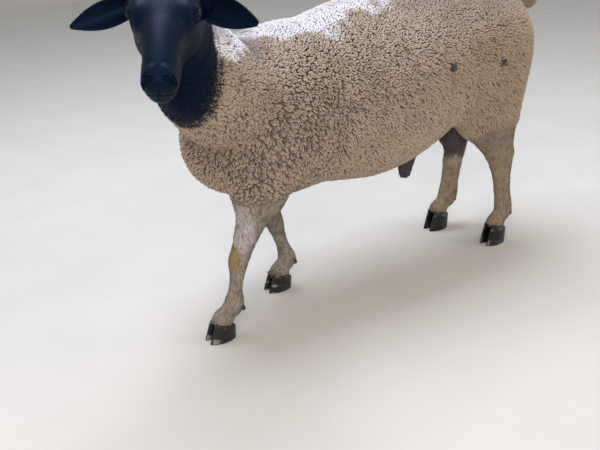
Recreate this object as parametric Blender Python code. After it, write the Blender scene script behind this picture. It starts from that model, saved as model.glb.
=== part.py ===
"""A Dorper ram, life size, standing with its head turned to its left.

Metres, +Z up. The ram faces -X and its left side is at -Y. The four feet stand
at z = 0, and the origin lies on the floor under the middle of the whole animal.
The shape is a field of smooth tubes, called limbs, that blend into each other.
"""

import math

import bmesh
import bpy
import numpy as np
from mathutils import Matrix, Vector

# Driving dimensions, in metres and degrees
GAP = 0.0003
CENTRE = (-0.0554, -0.1005)

BODY_VOXEL = 0.009
MOST_STEP = 0.02
HEAD_VOXEL = 0.0042
CORE_TRIANGLES = 1340
LEG_TRIANGLES = 420
HEAD_TRIANGLES = 1900

FORELEG_TOP = 0.252
FORE_WOOL_END = 0.290
HINDLEG_TOP = 0.315
HINDLEG_FRONT = 0.15
NECK_CUT = (-0.30, -0.04, 0.54)
NECK_CUT_NORMAL = (-0.62, -0.36, 0.70)

HEAD_PLACE = (-0.515, -0.180, 0.748)
HEAD_HEADING = -121.5
HEAD_PITCH = 18
HEAD_ROLL = -2

EYE_PLACE = (0.086, 0.020, 0.014)
EYE_RADIUS = 0.0135
EYE_GAZE = (0.32, 0.92, 0.16)
EYE_SLIT = (0.90, -0.30, -0.26)
EYE_PROUD = 0.0046
LID_THICKNESS = 0.0021
NOSTRIL_PLACE = (0.2365, 0.0145, -0.0165)
NOSTRIL_SIZE = (0.0065, 0.0036, 0.0080)
MOUTH_HEIGHT = -0.0405
EAR_ROOT = (0.020, 0.038, 0.002)
EAR_LENGTH = {1: 0.127, -1: 0.134}
EAR_WIDTH = 0.058
EAR_THICKNESS = 0.0042
EAR_DROOP = {1: 8, -1: 18}
EAR_FORWARD = {1: 25, -1: 4}
EAR_CURL = 0.010
EAR_LEAN = 25

CORONET_DROP = 0.006
CORONET_SLOPE = 0.30
SOLE_LENGTH = 0.062
CLAW_WIDTH = 0.0215
CLAW_TOP_LENGTH = 0.046
CLAW_TOP_WIDTH = 0.0205
TOE_REACH = 0.010
CLAW_SIDES = 11
CLAW_SPREAD = 0.0118
DEWCLAW_LENGTH = 0.014
DEWCLAW_PLACE = (0.0135, 0.0115, -0.010)
DEWCLAW_AXIS = (0.62, 0.10, -0.78)
DEWCLAW_RADIUS = (0.0070, 0.0030)

TAIL = [(0.430, 0, 0.626, 0.042, 0.036), (0.492, 0, 0.620, 0.037, 0.033), (0.536, 0, 0.604, 0.029, 0.026)]
SCROTUM = [(0.296, 0, 0.365, 0.026, 0.026), (0.302, 0, 0.325, 0.031, 0.030), (0.304, 0, 0.292, 0.036, 0.036)]
SHEATH = [(0.165, 0, 0.325, 0.027, 0.034), (0.150, 0, 0.264, 0.019, 0.022), (0.145, 0, 0.226, 0.012, 0.014)]

COAT_CORE = 0.012
CLUMP_SPACING = 0.0700
CLUMP_RADIUS = (0.045, 0.053)
CLUMP_SIDES = 6
CLUMP_SINK = 0.009
CLUMP_LIE = (0.25, 0, -1)
CLUMP_UNEVEN = 0.16
LEAST_FULL = 0.45
BLACK_EDGE_NORMAL = (-0.80, -0.55, 0.20)
BLACK_EDGE = 0.63
SEED = 11

LEVEL = (0, 1, 0)

MATERIALS = {
    "fleece": ((0.40, 0.31, 0.23), 0.95),
    "black_hair": ((0.010, 0.013, 0.022), 0.60),
    "cream_hair": ((0.47, 0.38, 0.28), 0.85),
    "horn_black": ((0.006, 0.006, 0.008), 0.40),
    "eye": ((0.030, 0.018, 0.010), 0.05),
    "bare_skin": ((0.10, 0.075, 0.070), 0.70),
}


# The stance: joints of each leg, in metres, with the side given as a distance

FORE = {
    "left": dict(elbow=(-0.318, -0.092, 0.315), knee=(-0.372, -0.076, 0.170),
                 fetlock=(-0.390, -0.075, 0.074), coronet=(-0.420, -0.074, 0.043)),
    "right": dict(elbow=(-0.222, -0.092, 0.315), knee=(-0.198, -0.062, 0.168),
                  fetlock=(-0.176, -0.050, 0.073), coronet=(-0.198, -0.050, 0.043)),
}
HIND = {
    "left": dict(hip=(0.310, -0.085, 0.450), hock=(0.392, -0.080, 0.225),
                 fetlock=(0.413, -0.076, 0.086), coronet=(0.388, -0.076, 0.053), girth=1.0),
    "right": dict(hip=(0.295, -0.085, 0.450), hock=(0.392, -0.088, 0.225),
                  fetlock=(0.368, -0.087, 0.086), coronet=(0.336, -0.087, 0.053), girth=1.18),
}


# The field: negative inside, zero on the surface


def resample(stations, steps):
    """A smooth curve through the stations of a limb."""
    rows = np.array(stations, float)
    if len(rows) == 2:
        return rows
    padded = np.vstack([2 * rows[0] - rows[1], rows, 2 * rows[-1] - rows[-2]])
    out = []
    for i in range(1, len(padded) - 2):
        a, b, c, d = padded[i - 1 : i + 3]
        for t in np.arange(steps) / steps:
            bend = (2 * a - 5 * b + 4 * c - d) * t**2 + (3 * b - a - 3 * c + d) * t**3
            out.append(0.5 * (2 * b + (c - a) * t + bend))
    out.append(rows[-1])
    return np.array(out)


class Limb:
    """A smooth tube through stations (x, y, z, half-width, half-depth)."""

    def __init__(self, stations, blend=0.02, side=None, steps=4):
        self.rows = resample(stations, steps)
        self.blend = blend
        self.side = side
        reach = self.rows[:, 3:5].max() + 0.03 + blend
        self.low = self.rows[:, :3].min(0) - reach
        self.high = self.rows[:, :3].max(0) + reach

    def side_of(self, axis):
        if self.side is not None:
            return np.array(self.side, float)
        across = np.cross(axis, (0, 0, 1))
        return across / max(np.linalg.norm(across), 1e-9)

    def distance(self, points):
        best = np.full(len(points), 9.0)
        for start, end in zip(self.rows[:-1], self.rows[1:]):
            axis = end[:3] - start[:3]
            side = self.side_of(axis)
            along = np.clip((points - start[:3]) @ axis / (axis @ axis), 0, 1)
            across = start[3] + along * (end[3] - start[3])
            deep = start[4] + along * (end[4] - start[4])
            off = points - start[:3] - along[:, None] * axis
            sideways = off @ side
            rest = np.sqrt(np.maximum((off * off).sum(1) - sideways**2, 0))
            k0 = np.sqrt((sideways / across) ** 2 + (rest / deep) ** 2)
            k1 = np.sqrt((sideways / across**2) ** 2 + (rest / deep**2) ** 2)
            np.minimum(best, k0 * (k0 - 1) / np.maximum(k1, 1e-9), out=best)
        return best

    def near(self, points):
        return np.all((points > self.low) & (points < self.high), axis=1)


def blended(a, b, k):
    """The smaller of two distances, rounded over k where they meet."""
    h = np.clip(0.5 + 0.5 * (b - a) / k, 0, 1)
    return b * (1 - h) + a * h - k * h * (1 - h)


def field(points, limbs):
    value = np.full(len(points), 0.5)
    for limb in limbs:
        near = limb.near(points)
        if near.any():
            value[near] = blended(value[near], limb.distance(points[near]), limb.blend)
    return value


# The body, as limbs


def mirrored(stations, left):
    """Stations written for the left side, at -Y, or turned over to the right."""
    sign = 1 if left else -1
    return [(x, y * sign, z, a, b) for x, y, z, a, b in stations]


def between(a, b, t):
    return tuple(p + t * (q - p) for p, q in zip(a, b))


TRUNK = [
    (-0.305, 0, 0.432, 0.112, 0.122),
    (-0.225, 0, 0.459, 0.148, 0.172),
    (-0.110, 0, 0.464, 0.166, 0.177),
    (0.000, 0, 0.463, 0.180, 0.202),
    (0.090, 0, 0.479, 0.182, 0.194),
    (0.165, 0, 0.503, 0.175, 0.168),
    (0.250, 0, 0.517, 0.164, 0.155),
    (0.350, 0, 0.519, 0.150, 0.147),
]
BRISKET = [
    (-0.335, 0, 0.395, 0.078, 0.080),
    (-0.240, 0, 0.365, 0.090, 0.082),
    (-0.130, 0, 0.380, 0.090, 0.084),
]
NECK = [
    (-0.230, -0.005, 0.478, 0.122, 0.140),
    (-0.320, -0.045, 0.514, 0.106, 0.120),
    (-0.400, -0.098, 0.554, 0.090, 0.101),
    (-0.458, -0.143, 0.614, 0.076, 0.092),
    (-0.495, -0.172, 0.670, 0.062, 0.068),
]
THROAT = [(-0.420, -0.115, 0.540, 0.066, 0.080), (-0.496, -0.178, 0.592, 0.050, 0.062)]


def shoulder(leg):
    x, y, z = leg["elbow"]
    return [
        (-0.165, -0.068, 0.562, 0.048, 0.050),
        (-0.235, -0.098, 0.480, 0.058, 0.088),
        (0.5 * x - 0.130, -0.098, 0.400, 0.054, 0.074),
        (x, y, z, 0.041, 0.054),
    ]


def foreleg(leg):
    elbow, knee, fetlock, coronet = leg["elbow"], leg["knee"], leg["fetlock"], leg["coronet"]
    return [
        (*elbow, 0.041, 0.050),
        (*between(elbow, knee, 0.35), 0.030, 0.034),
        (*between(elbow, knee, 0.75), 0.0225, 0.0230),
        (*knee, 0.0210, 0.0210),
        (*between(knee, fetlock, 0.3), 0.0155, 0.0160),
        (*between(knee, fetlock, 0.65), 0.0140, 0.0145),
        (*fetlock, 0.0205, 0.0205),
        (*between(fetlock, coronet, 0.5), 0.0180, 0.0185),
        (*coronet, 0.0215, 0.0230),
        (coronet[0] - 0.004, coronet[1], coronet[2] - 0.018, 0.0215, 0.0240),
    ]


def thigh(leg):
    x, y, z = leg["hip"]
    return [
        (x - 0.010, y * 0.8, z + 0.065, 0.078, 0.105),
        (x, y, z, 0.078, 0.118),
        (x + 0.010, y * 1.05, z - 0.055, 0.066, 0.098),
    ]


def hindleg(leg):
    hip, hock, fetlock, coronet = leg["hip"], leg["hock"], leg["fetlock"], leg["coronet"]
    girth = leg["girth"]
    x, y, z = hock
    return [
        (*between(hip, hock, 0.25), 0.062, 0.085),
        (*between(hip, hock, 0.55), 0.046, 0.066),
        (x - 0.018, y, z + 0.055, 0.035, 0.047),
        (x, y, z, 0.0245, 0.0335),
        (*between(hock, fetlock, 0.3), 0.0200, 0.0250 * girth),
        (*between(hock, fetlock, 0.65), 0.0185, 0.0215 * girth),
        (*fetlock, 0.0215, 0.0235 * girth),
        (*between(fetlock, coronet, 0.5), 0.0185, 0.0195),
        (*coronet, 0.0215, 0.0230),
        (coronet[0] - 0.004, coronet[1], coronet[2] - 0.018, 0.0215, 0.0240),
    ]


def heel(leg):
    x, y, z = leg["hock"]
    return [(x - 0.010, y, z + 0.045, 0.016, 0.018), (x + 0.020, y, z + 0.020, 0.0135, 0.0145)]


def body_limbs():
    limbs = [
        Limb(TRUNK, 0.03, LEVEL, 5),
        Limb(BRISKET, 0.06, LEVEL),
        Limb(NECK, 0.03),
        Limb(THROAT, 0.04),
    ]
    for name in ("left", "right"):
        left = name == "left"
        for shape, leg, blend in (
            (shoulder, FORE, 0.045),
            (foreleg, FORE, 0.025),
            (thigh, HIND, 0.045),
            (hindleg, HIND, 0.025),
            (heel, HIND, 0.016),
        ):
            limbs.append(Limb(mirrored(shape(leg[name]), left), blend, LEVEL))
    return limbs


# The head, in its own frame: X to the muzzle, Y to its left, Z up

SKULL = {
    "cranium": ([(0.000, 0, -0.004, 0.050, 0.046), (0.045, 0, 0.000, 0.055, 0.047),
                 (0.085, 0, 0.000, 0.050, 0.044)], 0.020),
    "face": ([(0.080, 0, 0.002, 0.046, 0.042), (0.120, 0, 0.000, 0.037, 0.039),
              (0.165, 0, -0.008, 0.030, 0.034), (0.205, 0, -0.018, 0.0265, 0.028),
              (0.226, 0, -0.024, 0.0255, 0.023)], 0.020),
    "jaw": ([(0.045, 0, -0.048, 0.044, 0.036), (0.100, 0, -0.048, 0.034, 0.030),
             (0.160, 0, -0.046, 0.024, 0.022), (0.210, 0, -0.047, 0.021, 0.015)], 0.025),
    "lower_lip": ([(0.215, 0, -0.056, 0.018, 0.012), (0.228, 0, -0.052, 0.016, 0.010)], 0.012),
}
SKULL_PAIRS = {
    "cheek": ([(0.030, 0.036, -0.040, 0.018, 0.042), (0.075, 0.036, -0.036, 0.016, 0.030)], 0.020),
    "brow": ([(0.070, 0.040, 0.026, 0.012, 0.014), (0.100, 0.037, 0.022, 0.010, 0.012)], 0.016),
    "orbit": ([(0.072, 0.040, 0.010, 0.014, 0.021), (0.102, 0.038, 0.008, 0.012, 0.019)], 0.016),
    "upper_lip": ([(0.195, 0.015, -0.030, 0.013, 0.017), (0.228, 0.0115, -0.030, 0.0135, 0.016)], 0.012),
}


def head_frame():
    heading, pitch = math.radians(HEAD_HEADING), math.radians(HEAD_PITCH)
    forward = Vector((
        math.cos(heading) * math.cos(pitch),
        math.sin(heading) * math.cos(pitch),
        -math.sin(pitch),
    ))
    left = Vector((0, 0, 1)).cross(forward).normalized()
    turn = Matrix.Rotation(math.radians(HEAD_ROLL), 3, forward)
    left, up = turn @ left, turn @ forward.cross(left)
    frame = Matrix((forward, left, up)).transposed().to_4x4()
    frame.translation = HEAD_PLACE
    return frame


def head_limbs(frame):
    side = frame.to_3x3() @ Vector((0, 1, 0))
    pieces = list(SKULL.values())
    for stations, blend in SKULL_PAIRS.values():
        pieces.append((stations, blend))
        pieces.append(([(x, -y, z, a, b) for x, y, z, a, b in stations], blend))
    limbs = []
    for stations, blend in pieces:
        placed = [(*(frame @ Vector(s[:3])), s[3], s[4]) for s in stations]
        limbs.append(Limb(placed, blend, side))
    return limbs


# Meshes from the field


def new_object(name, mesh):
    obj = bpy.data.objects.new(name, mesh)
    bpy.context.scene.collection.objects.link(obj)
    return obj


def apply_modifiers(obj):
    graph = bpy.context.evaluated_depsgraph_get()
    mesh = bpy.data.meshes.new_from_object(obj.evaluated_get(graph))
    obj.modifiers.clear()
    old = obj.data
    obj.data = mesh
    bpy.data.meshes.remove(old)


def strung_balls(name, limbs):
    """Flattened balls strung along every limb, which a remesh then fuses."""
    bm = bmesh.new()
    for limb in limbs:
        for start, end in zip(limb.rows[:-1], limb.rows[1:]):
            axis = end[:3] - start[:3]
            side = Vector(limb.side_of(axis))
            forward = Vector(axis) - side * side.dot(Vector(axis))
            forward.normalize()
            turn = Matrix((side, forward, side.cross(forward))).transposed().to_4x4()
            smallest = min(start[3:5].min(), end[3:5].min())
            count = max(1, math.ceil(np.linalg.norm(axis) / (0.4 * smallest)))
            for t in np.arange(count + 1) / count:
                x, y, z, across, deep = start + t * (end - start)
                size = Matrix.Diagonal((across, deep, deep, 1))
                place = Matrix.Translation((x, y, z)) @ turn @ size
                bmesh.ops.create_icosphere(bm, subdivisions=2, radius=1, matrix=place)
    mesh = bpy.data.meshes.new(name)
    bm.to_mesh(mesh)
    bm.free()
    return mesh


def positions(mesh):
    flat = np.empty(len(mesh.vertices) * 3, np.float32)
    mesh.vertices.foreach_get("co", flat)
    return flat.reshape(-1, 3).astype(float)


def gradient(points, shape, step=0.0015):
    out = np.empty_like(points)
    for axis in range(3):
        shift = np.zeros(3)
        shift[axis] = step
        out[:, axis] = shape(points + shift) - shape(points - shift)
    return out / np.maximum(np.linalg.norm(out, axis=1), 1e-9)[:, None]


def draw_to(mesh, shape, rounds=3, relax=2):
    """Moves every vertex onto the field's surface and keeps them evenly spread."""
    points = positions(mesh)
    edges = np.empty(len(mesh.edges) * 2, np.int32)
    mesh.edges.foreach_get("vertices", edges)
    a, b = edges.reshape(-1, 2).T
    count = np.bincount(a, minlength=len(points)) + np.bincount(b, minlength=len(points))
    for _ in range(rounds):
        for _ in range(relax):
            total = np.zeros_like(points)
            for axis in range(3):
                total[:, axis] += np.bincount(a, points[b, axis], len(points))
                total[:, axis] += np.bincount(b, points[a, axis], len(points))
            points += 0.5 * (total / count[:, None] - points)
        direction = gradient(points, shape)
        for _ in range(2):
            points -= np.clip(shape(points), -MOST_STEP, MOST_STEP)[:, None] * direction
    mesh.vertices.foreach_set("co", points.astype(np.float32).ravel())
    mesh.update()


def sculpted(name, limbs, voxel, offset=0.0):
    """One closed mesh of the limbs' smooth surface, moved out by the offset."""
    obj = new_object(name, strung_balls(name, limbs))
    remesh = obj.modifiers.new("fuse", "REMESH")
    remesh.mode = "VOXEL"
    remesh.voxel_size = voxel
    apply_modifiers(obj)
    draw_to(obj.data, lambda points: field(points, limbs) - offset)
    return obj


# Cutting and joining


def copied(obj, name):
    return new_object(name, obj.data.copy())


def thinned(obj, triangles):
    """Fewer triangles, where the surface is flattest."""
    faces = sum(len(polygon.vertices) - 2 for polygon in obj.data.polygons)
    thin = obj.modifiers.new("thin", "DECIMATE")
    thin.ratio = min(1, triangles / faces)
    thin.use_collapse_triangulate = True
    apply_modifiers(obj)
    return obj


def sliced(obj, point, normal):
    """Removes what lies beyond a plane, on the side its normal points to."""
    bm = bmesh.new()
    bm.from_mesh(obj.data)
    everything = bm.verts[:] + bm.edges[:] + bm.faces[:]
    cut = bmesh.ops.bisect_plane(bm, geom=everything, plane_co=point, plane_no=normal, clear_outer=True)
    rim = [item for item in cut["geom_cut"] if isinstance(item, bmesh.types.BMEdge)]
    bmesh.ops.holes_fill(bm, edges=rim, sides=0)
    bmesh.ops.triangulate(bm, faces=[face for face in bm.faces if len(face.verts) > 4])
    bmesh.ops.recalc_face_normals(bm, faces=bm.faces)
    bm.to_mesh(obj.data)
    bm.free()
    return obj


def keep_largest(obj):
    """Keeps only the surface with the most faces."""
    bm = bmesh.new()
    bm.from_mesh(obj.data)
    bm.faces.ensure_lookup_table()
    left = set(bm.faces)
    islands = []
    while left:
        island, edge = set(), [left.pop()]
        while edge:
            face = edge.pop()
            island.add(face)
            for side in face.edges:
                for other in side.link_faces:
                    if other in left:
                        left.remove(other)
                        edge.append(other)
        islands.append(island)
    largest = max(islands, key=len)
    loose = [face for face in bm.faces if face not in largest]
    bmesh.ops.delete(bm, geom=loose, context="FACES")
    bm.to_mesh(obj.data)
    bm.free()


def combined(obj, other, operation):
    """Joins, cuts or keeps the common part of two solids, and removes the second."""
    boolean = obj.modifiers.new(operation.lower(), "BOOLEAN")
    boolean.operation = operation
    boolean.object = other
    apply_modifiers(obj)
    bpy.data.objects.remove(other)
    keep_largest(obj)
    return obj


def swollen(obj, by):
    """A copy whose surface lies outside the original."""
    copy = copied(obj, obj.name + "_cutter")
    mesh = copy.data
    points = positions(mesh)
    normals = np.array([vertex.normal for vertex in mesh.vertices])
    mesh.vertices.foreach_set("co", (points + by * normals).astype(np.float32).ravel())
    mesh.update()
    return copy


def box(name, low, high):
    bm = bmesh.new()
    centre = [(a + b) / 2 for a, b in zip(low, high)]
    size = [b - a for a, b in zip(low, high)]
    place = Matrix.Translation(centre) @ Matrix.Diagonal((*size, 1))
    bmesh.ops.create_cube(bm, size=1, matrix=place)
    mesh = bpy.data.meshes.new(name)
    bm.to_mesh(mesh)
    bm.free()
    return new_object(name, mesh)


def mesh_object(name, points, faces):
    mesh = bpy.data.meshes.new(name)
    mesh.from_pydata([tuple(point) for point in points], [], faces)
    bm = bmesh.new()
    bm.from_mesh(mesh)
    bmesh.ops.recalc_face_normals(bm, faces=bm.faces)
    bm.to_mesh(mesh)
    bm.free()
    return new_object(name, mesh)


def ball(name, centre, radius, detail=2):
    bm = bmesh.new()
    bmesh.ops.create_icosphere(bm, subdivisions=detail, radius=radius, matrix=Matrix.Translation(centre))
    mesh = bpy.data.meshes.new(name)
    bm.to_mesh(mesh)
    bm.free()
    return new_object(name, mesh)


# The nodes of the body


def smooth_step(low, high, value):
    t = np.clip((value - low) / (high - low), 0, 1)
    return t * t * (3 - 2 * t)


def coat(points):
    """How full the fleece is at a place, from 0 on short hair to 1 on the body."""
    full = smooth_step(0.0, 0.045, BLACK_EDGE - points @ np.array(BLACK_EDGE_NORMAL))
    for legs, joint, reach, low in ((FORE, "elbow", 0.085, FORE_WOOL_END), (HIND, "hock", 0.110, HINDLEG_TOP)):
        for name, side in (("left", 1), ("right", -1)):
            x, y, _ = legs[name][joint]
            away = np.hypot(points[:, 0] - x, points[:, 1] - y * side)
            above = smooth_step(low + 0.006, low + 0.050, points[:, 2])
            full = np.minimum(full, np.maximum(above, smooth_step(reach, reach + 0.03, away)))
    return full


def scattered(mesh, spacing, draw):
    """Places set evenly at random over a surface, with its normal at each."""
    points = positions(mesh)
    mesh.calc_loop_triangles()
    corners = np.array([triangle.vertices[:] for triangle in mesh.loop_triangles])
    a, b, c = points[corners[:, 0]], points[corners[:, 1]], points[corners[:, 2]]
    cross = np.cross(b - a, c - a)
    area = np.linalg.norm(cross, axis=1)
    count = int(40 * area.sum() / 2 / spacing**2)
    chosen = draw.choice(len(area), count, p=area / area.sum())
    u, v = draw.random((2, count))
    u, v = np.where(u + v > 1, 1 - u, u), np.where(u + v > 1, 1 - v, v)
    places = a[chosen] + u[:, None] * (b - a)[chosen] + v[:, None] * (c - a)[chosen]
    taken = np.empty((0, 3))
    kept = []
    for i, place in enumerate(places):
        if len(taken) == 0 or ((taken - place) ** 2).sum(1).min() > spacing**2:
            taken = np.vstack([taken, place])
            kept.append(i)
    normals = cross[chosen[kept]] / area[chosen[kept]][:, None]
    return places[kept], normals


def clump_points(place, normal, radius, height, draw):
    """A rounded lock of fleece, and how far each of its points lies above the core."""
    place, normal = Vector(place), Vector(normal)
    down = Vector(CLUMP_LIE)
    lie = (down - normal * down.dot(normal)).normalized()
    across = normal.cross(lie)
    start = draw.random() * math.pi
    points, rises = [place], [-CLUMP_SINK]
    for size, rise, lean in ((0.86, -0.8 * CLUMP_SINK, 0), (0.90, 0.50 * height, 0.08)):
        for step in range(CLUMP_SIDES):
            turn = start + 2 * math.pi * step / CLUMP_SIDES
            wide = radius * size * (1 + CLUMP_UNEVEN * (draw.random() - 0.5))
            points.append(place + wide * (lie * (1.10 * math.cos(turn) + lean) + across * (0.92 * math.sin(turn))))
            rises.append(rise)
    points.append(place + lie * 0.15 * radius)
    rises.append(height)
    return points, rises


def clump_faces():
    top = 2 * CLUMP_SIDES + 1
    faces = []
    for step in range(CLUMP_SIDES):
        a, b = 1 + step, 1 + (step + 1) % CLUMP_SIDES
        faces.extend([(0, b, a), (a, b, b + CLUMP_SIDES), (a, b + CLUMP_SIDES, a + CLUMP_SIDES),
                      (a + CLUMP_SIDES, b + CLUMP_SIDES, top)])
    return faces


def add_fleece(core, shape):
    """Rounded clumps over the coat, bent to the body's surface and fused with the core."""
    draw = np.random.default_rng(SEED)
    places, normals = scattered(core.data, CLUMP_SPACING, draw)
    points, levels = [], []
    for place, normal, full in zip(places, normals, coat(places)):
        if full < LEAST_FULL or place[2] < FORELEG_TOP:
            continue
        full = float(full)
        radius = draw.uniform(*CLUMP_RADIUS) * (0.70 + 0.30 * full)
        height = COAT_CORE * full * draw.uniform(0.84, 1.0)
        clump, rises = clump_points(place, normal, radius, height, draw)
        points.extend(clump)
        levels.extend(rise - COAT_CORE * full for rise in rises)
    points, levels = np.array(points), np.array(levels)
    for _ in range(4):
        step = np.clip(shape(points) - levels, -MOST_STEP, MOST_STEP)
        points -= step[:, None] * gradient(points, shape)
    clumps = bpy.data.collections.new("clumps")
    bpy.context.scene.collection.children.link(clumps)
    size = 2 * CLUMP_SIDES + 2
    for i in range(0, len(points), size):
        clump = mesh_object(f"clump_{i // size}", points[i : i + size], clump_faces())
        bpy.context.scene.collection.objects.unlink(clump)
        clumps.objects.link(clump)
    fuse = core.modifiers.new("fuse", "BOOLEAN")
    fuse.operation = "UNION"
    fuse.operand_type = "COLLECTION"
    fuse.collection = clumps
    apply_modifiers(core)
    for clump in list(clumps.objects):
        bpy.data.objects.remove(clump)
    bpy.data.collections.remove(clumps)
    keep_largest(core)


def make_woolly(body, limbs):
    """Trunk and neck with their fleece, without the legs."""
    wool = copied(body, "wool")

    def shape(points):
        return field(points, limbs)

    draw_to(wool.data, lambda points: shape(points) + COAT_CORE * coat(points), 2)
    sliced(wool, (0, 0, FORELEG_TOP - 0.03), (0, 0, -1))
    thinned(wool, CORE_TRIANGLES)
    add_fleece(wool, shape)
    sliced(wool, (0, 0, FORELEG_TOP + GAP / 2), (0, 0, -1))
    behind = box("behind", (HINDLEG_FRONT, -0.4, 0), (0.7, 0.4, HINDLEG_TOP + GAP / 2))
    return combined(wool, behind, "DIFFERENCE")


def make_torso(wool):
    normal = Vector(NECK_CUT_NORMAL).normalized()
    torso = sliced(copied(wool, "torso"), Vector(NECK_CUT) - (GAP / 2) * normal, normal)
    keep_largest(torso)
    return torso


def make_neck(wool, head):
    normal = Vector(NECK_CUT_NORMAL).normalized()
    neck = sliced(copied(wool, "neck"), Vector(NECK_CUT) + (GAP / 2) * normal, -normal)
    return combined(neck, swollen(head, GAP), "DIFFERENCE")


def make_leg(body, name, leg, side, top, front):
    """A leg from its wool down to the coronet, whose slope rises to the front."""
    obj = sliced(copied(body, name), (0, 0, top + 0.03), (0, 0, 1))
    sliced(obj, (0, -0.005 * side, 0), (0, side, 0))
    sliced(obj, (front, 0, 0), (-1 if top == HINDLEG_TOP else 1, 0, 0))
    keep_largest(obj)
    thinned(obj, LEG_TRIANGLES)
    sliced(obj, (0, 0, top - GAP / 2), (0, 0, 1))
    x, _, z = leg["coronet"]
    sliced(obj, (x, 0, z - CORONET_DROP), (-CORONET_SLOPE, 0, -1))
    keep_largest(obj)
    return obj


# The nodes of the head


def head_point(frame, place, sign=1):
    x, y, z = place
    return frame @ Vector((x, y * sign, z))


def head_direction(frame, vector, sign=1):
    x, y, z = vector
    return (frame.to_3x3() @ Vector((x, y * sign, z))).normalized()


def reach(shape, start, direction, furthest=0.12):
    """How far along a direction the surface lies from a point inside it."""
    steps = np.linspace(0, furthest, 241)
    values = shape(np.array(start) + steps[:, None] * np.array(direction))
    return float(steps[np.argmax(values > 0)])


def eye_centre(frame, shape, sign):
    start = head_point(frame, EYE_PLACE, sign)
    gaze = head_direction(frame, EYE_GAZE, sign)
    return start + (reach(shape, start, gaze) + EYE_PROUD - EYE_RADIUS) * gaze


def lid(name, frame, centre, sign, edge, back):
    """A piece of shell over the eye, from its free edge to its root, in degrees above the gaze."""
    gaze = head_direction(frame, EYE_GAZE, sign)
    slit = head_direction(frame, EYE_SLIT, sign)
    slit = (slit - gaze * slit.dot(gaze)).normalized()
    up = slit.cross(gaze) * sign
    inner, outer = 0.85 * EYE_RADIUS, EYE_RADIUS + LID_THICKNESS
    points = []
    for radius in (inner, outer):
        for column in range(7):
            along = column / 3 - 1
            angle = math.radians(76) * along
            low = edge * (1 - along**2)
            for step in range(3):
                tilt = math.radians(low + (back - low) * step / 2)
                turned = math.cos(tilt) * gaze + math.sin(tilt) * up
                thick = radius if step or radius == inner else radius - 0.0007
                points.append(centre + thick * (math.sin(angle) * slit + math.cos(angle) * turned))
    return mesh_object(name, points, sheet_faces(7, 3))


def sheet_faces(rows, columns):
    """Triangles of a closed sheet: two alike grids of points and the rim between them."""
    faces, layer = [], rows * columns

    def add(a, b, c, d):
        faces.extend([(a, b, c), (a, c, d)])

    for i in range(rows - 1):
        for j in range(columns - 1):
            a = i * columns + j
            quad = (a, a + 1, a + columns + 1, a + columns)
            add(*quad)
            faces.extend([(quad[0] + layer, quad[2] + layer, quad[1] + layer),
                          (quad[0] + layer, quad[3] + layer, quad[2] + layer)])
    for i in range(rows - 1):
        for j in (0, columns - 1):
            a = i * columns + j
            add(a, a + columns, a + columns + layer, a + layer)
    for j in range(columns - 1):
        for i in (0, rows - 1):
            a = i * columns + j
            add(a, a + 1, a + 1 + layer, a + layer)
    return faces


def mouth_knife(frame, shape):
    """A thin curved wedge along the line of the mouth, set into the surface."""
    depth, proud, half = 0.0055, 0.006, 0.0011
    points = []
    widest = math.radians(118)
    for step in range(17):
        angle = widest * (step / 8 - 1)
        bend = (angle / widest) ** 2
        start = head_point(frame, (0.198, 0, MOUTH_HEIGHT - 0.003 * bend))
        direction = head_direction(frame, (math.cos(angle), math.sin(angle), 0))
        across = head_direction(frame, (0, 0, 1))
        edge = reach(shape, start, direction)
        shallow = depth * (1 - 0.8 * bend**3)
        points.append(start + (edge - shallow) * direction)
        points.append(start + (edge + proud) * direction + half * (proud + depth) / depth * across)
        points.append(start + (edge + proud) * direction - half * (proud + depth) / depth * across)
    faces = [(0, 1, 2), (48, 50, 49)]
    for i in range(16):
        for j, k in ((0, 1), (1, 2), (2, 0)):
            a, b = 3 * i + j, 3 * i + k
            faces.extend([(a, b, b + 3), (a, b + 3, a + 3)])
    return mesh_object("mouth", points, faces)


def nostril(frame, sign):
    turn = Matrix.Rotation(math.radians(-35) * sign, 4, "X") @ Matrix.Rotation(math.radians(30) * sign, 4, "Z")
    place = frame @ Matrix.Translation(Vector(NOSTRIL_PLACE) * Vector((1, sign, 1)))
    cutter = ball("nostril", (0, 0, 0), 1)
    cutter.data.transform(place @ turn @ Matrix.Diagonal((*NOSTRIL_SIZE, 1)))
    return cutter


def finish_head(head, frame, shape):
    """Lids, sockets, nostrils and the line of the mouth."""
    for sign in (1, -1):
        centre = eye_centre(frame, shape, sign)
        combined(head, lid("lid", frame, centre, sign, 27, 84), "UNION")
        combined(head, lid("lid", frame, centre, sign, -26, -80), "UNION")
        combined(head, ball("socket", centre, EYE_RADIUS + GAP), "DIFFERENCE")
        combined(head, nostril(frame, sign), "DIFFERENCE")
    return combined(head, mouth_knife(frame, shape), "DIFFERENCE")


def ear_width(along):
    """The half-width of the leaf: a narrow root, broad middle and blunt tip."""
    return 0.5 * EAR_WIDTH * (0.62 + 0.38 * math.sin(math.pi * min(1, along * 1.1))) * (1 - along**4.5) ** 0.6


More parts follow.
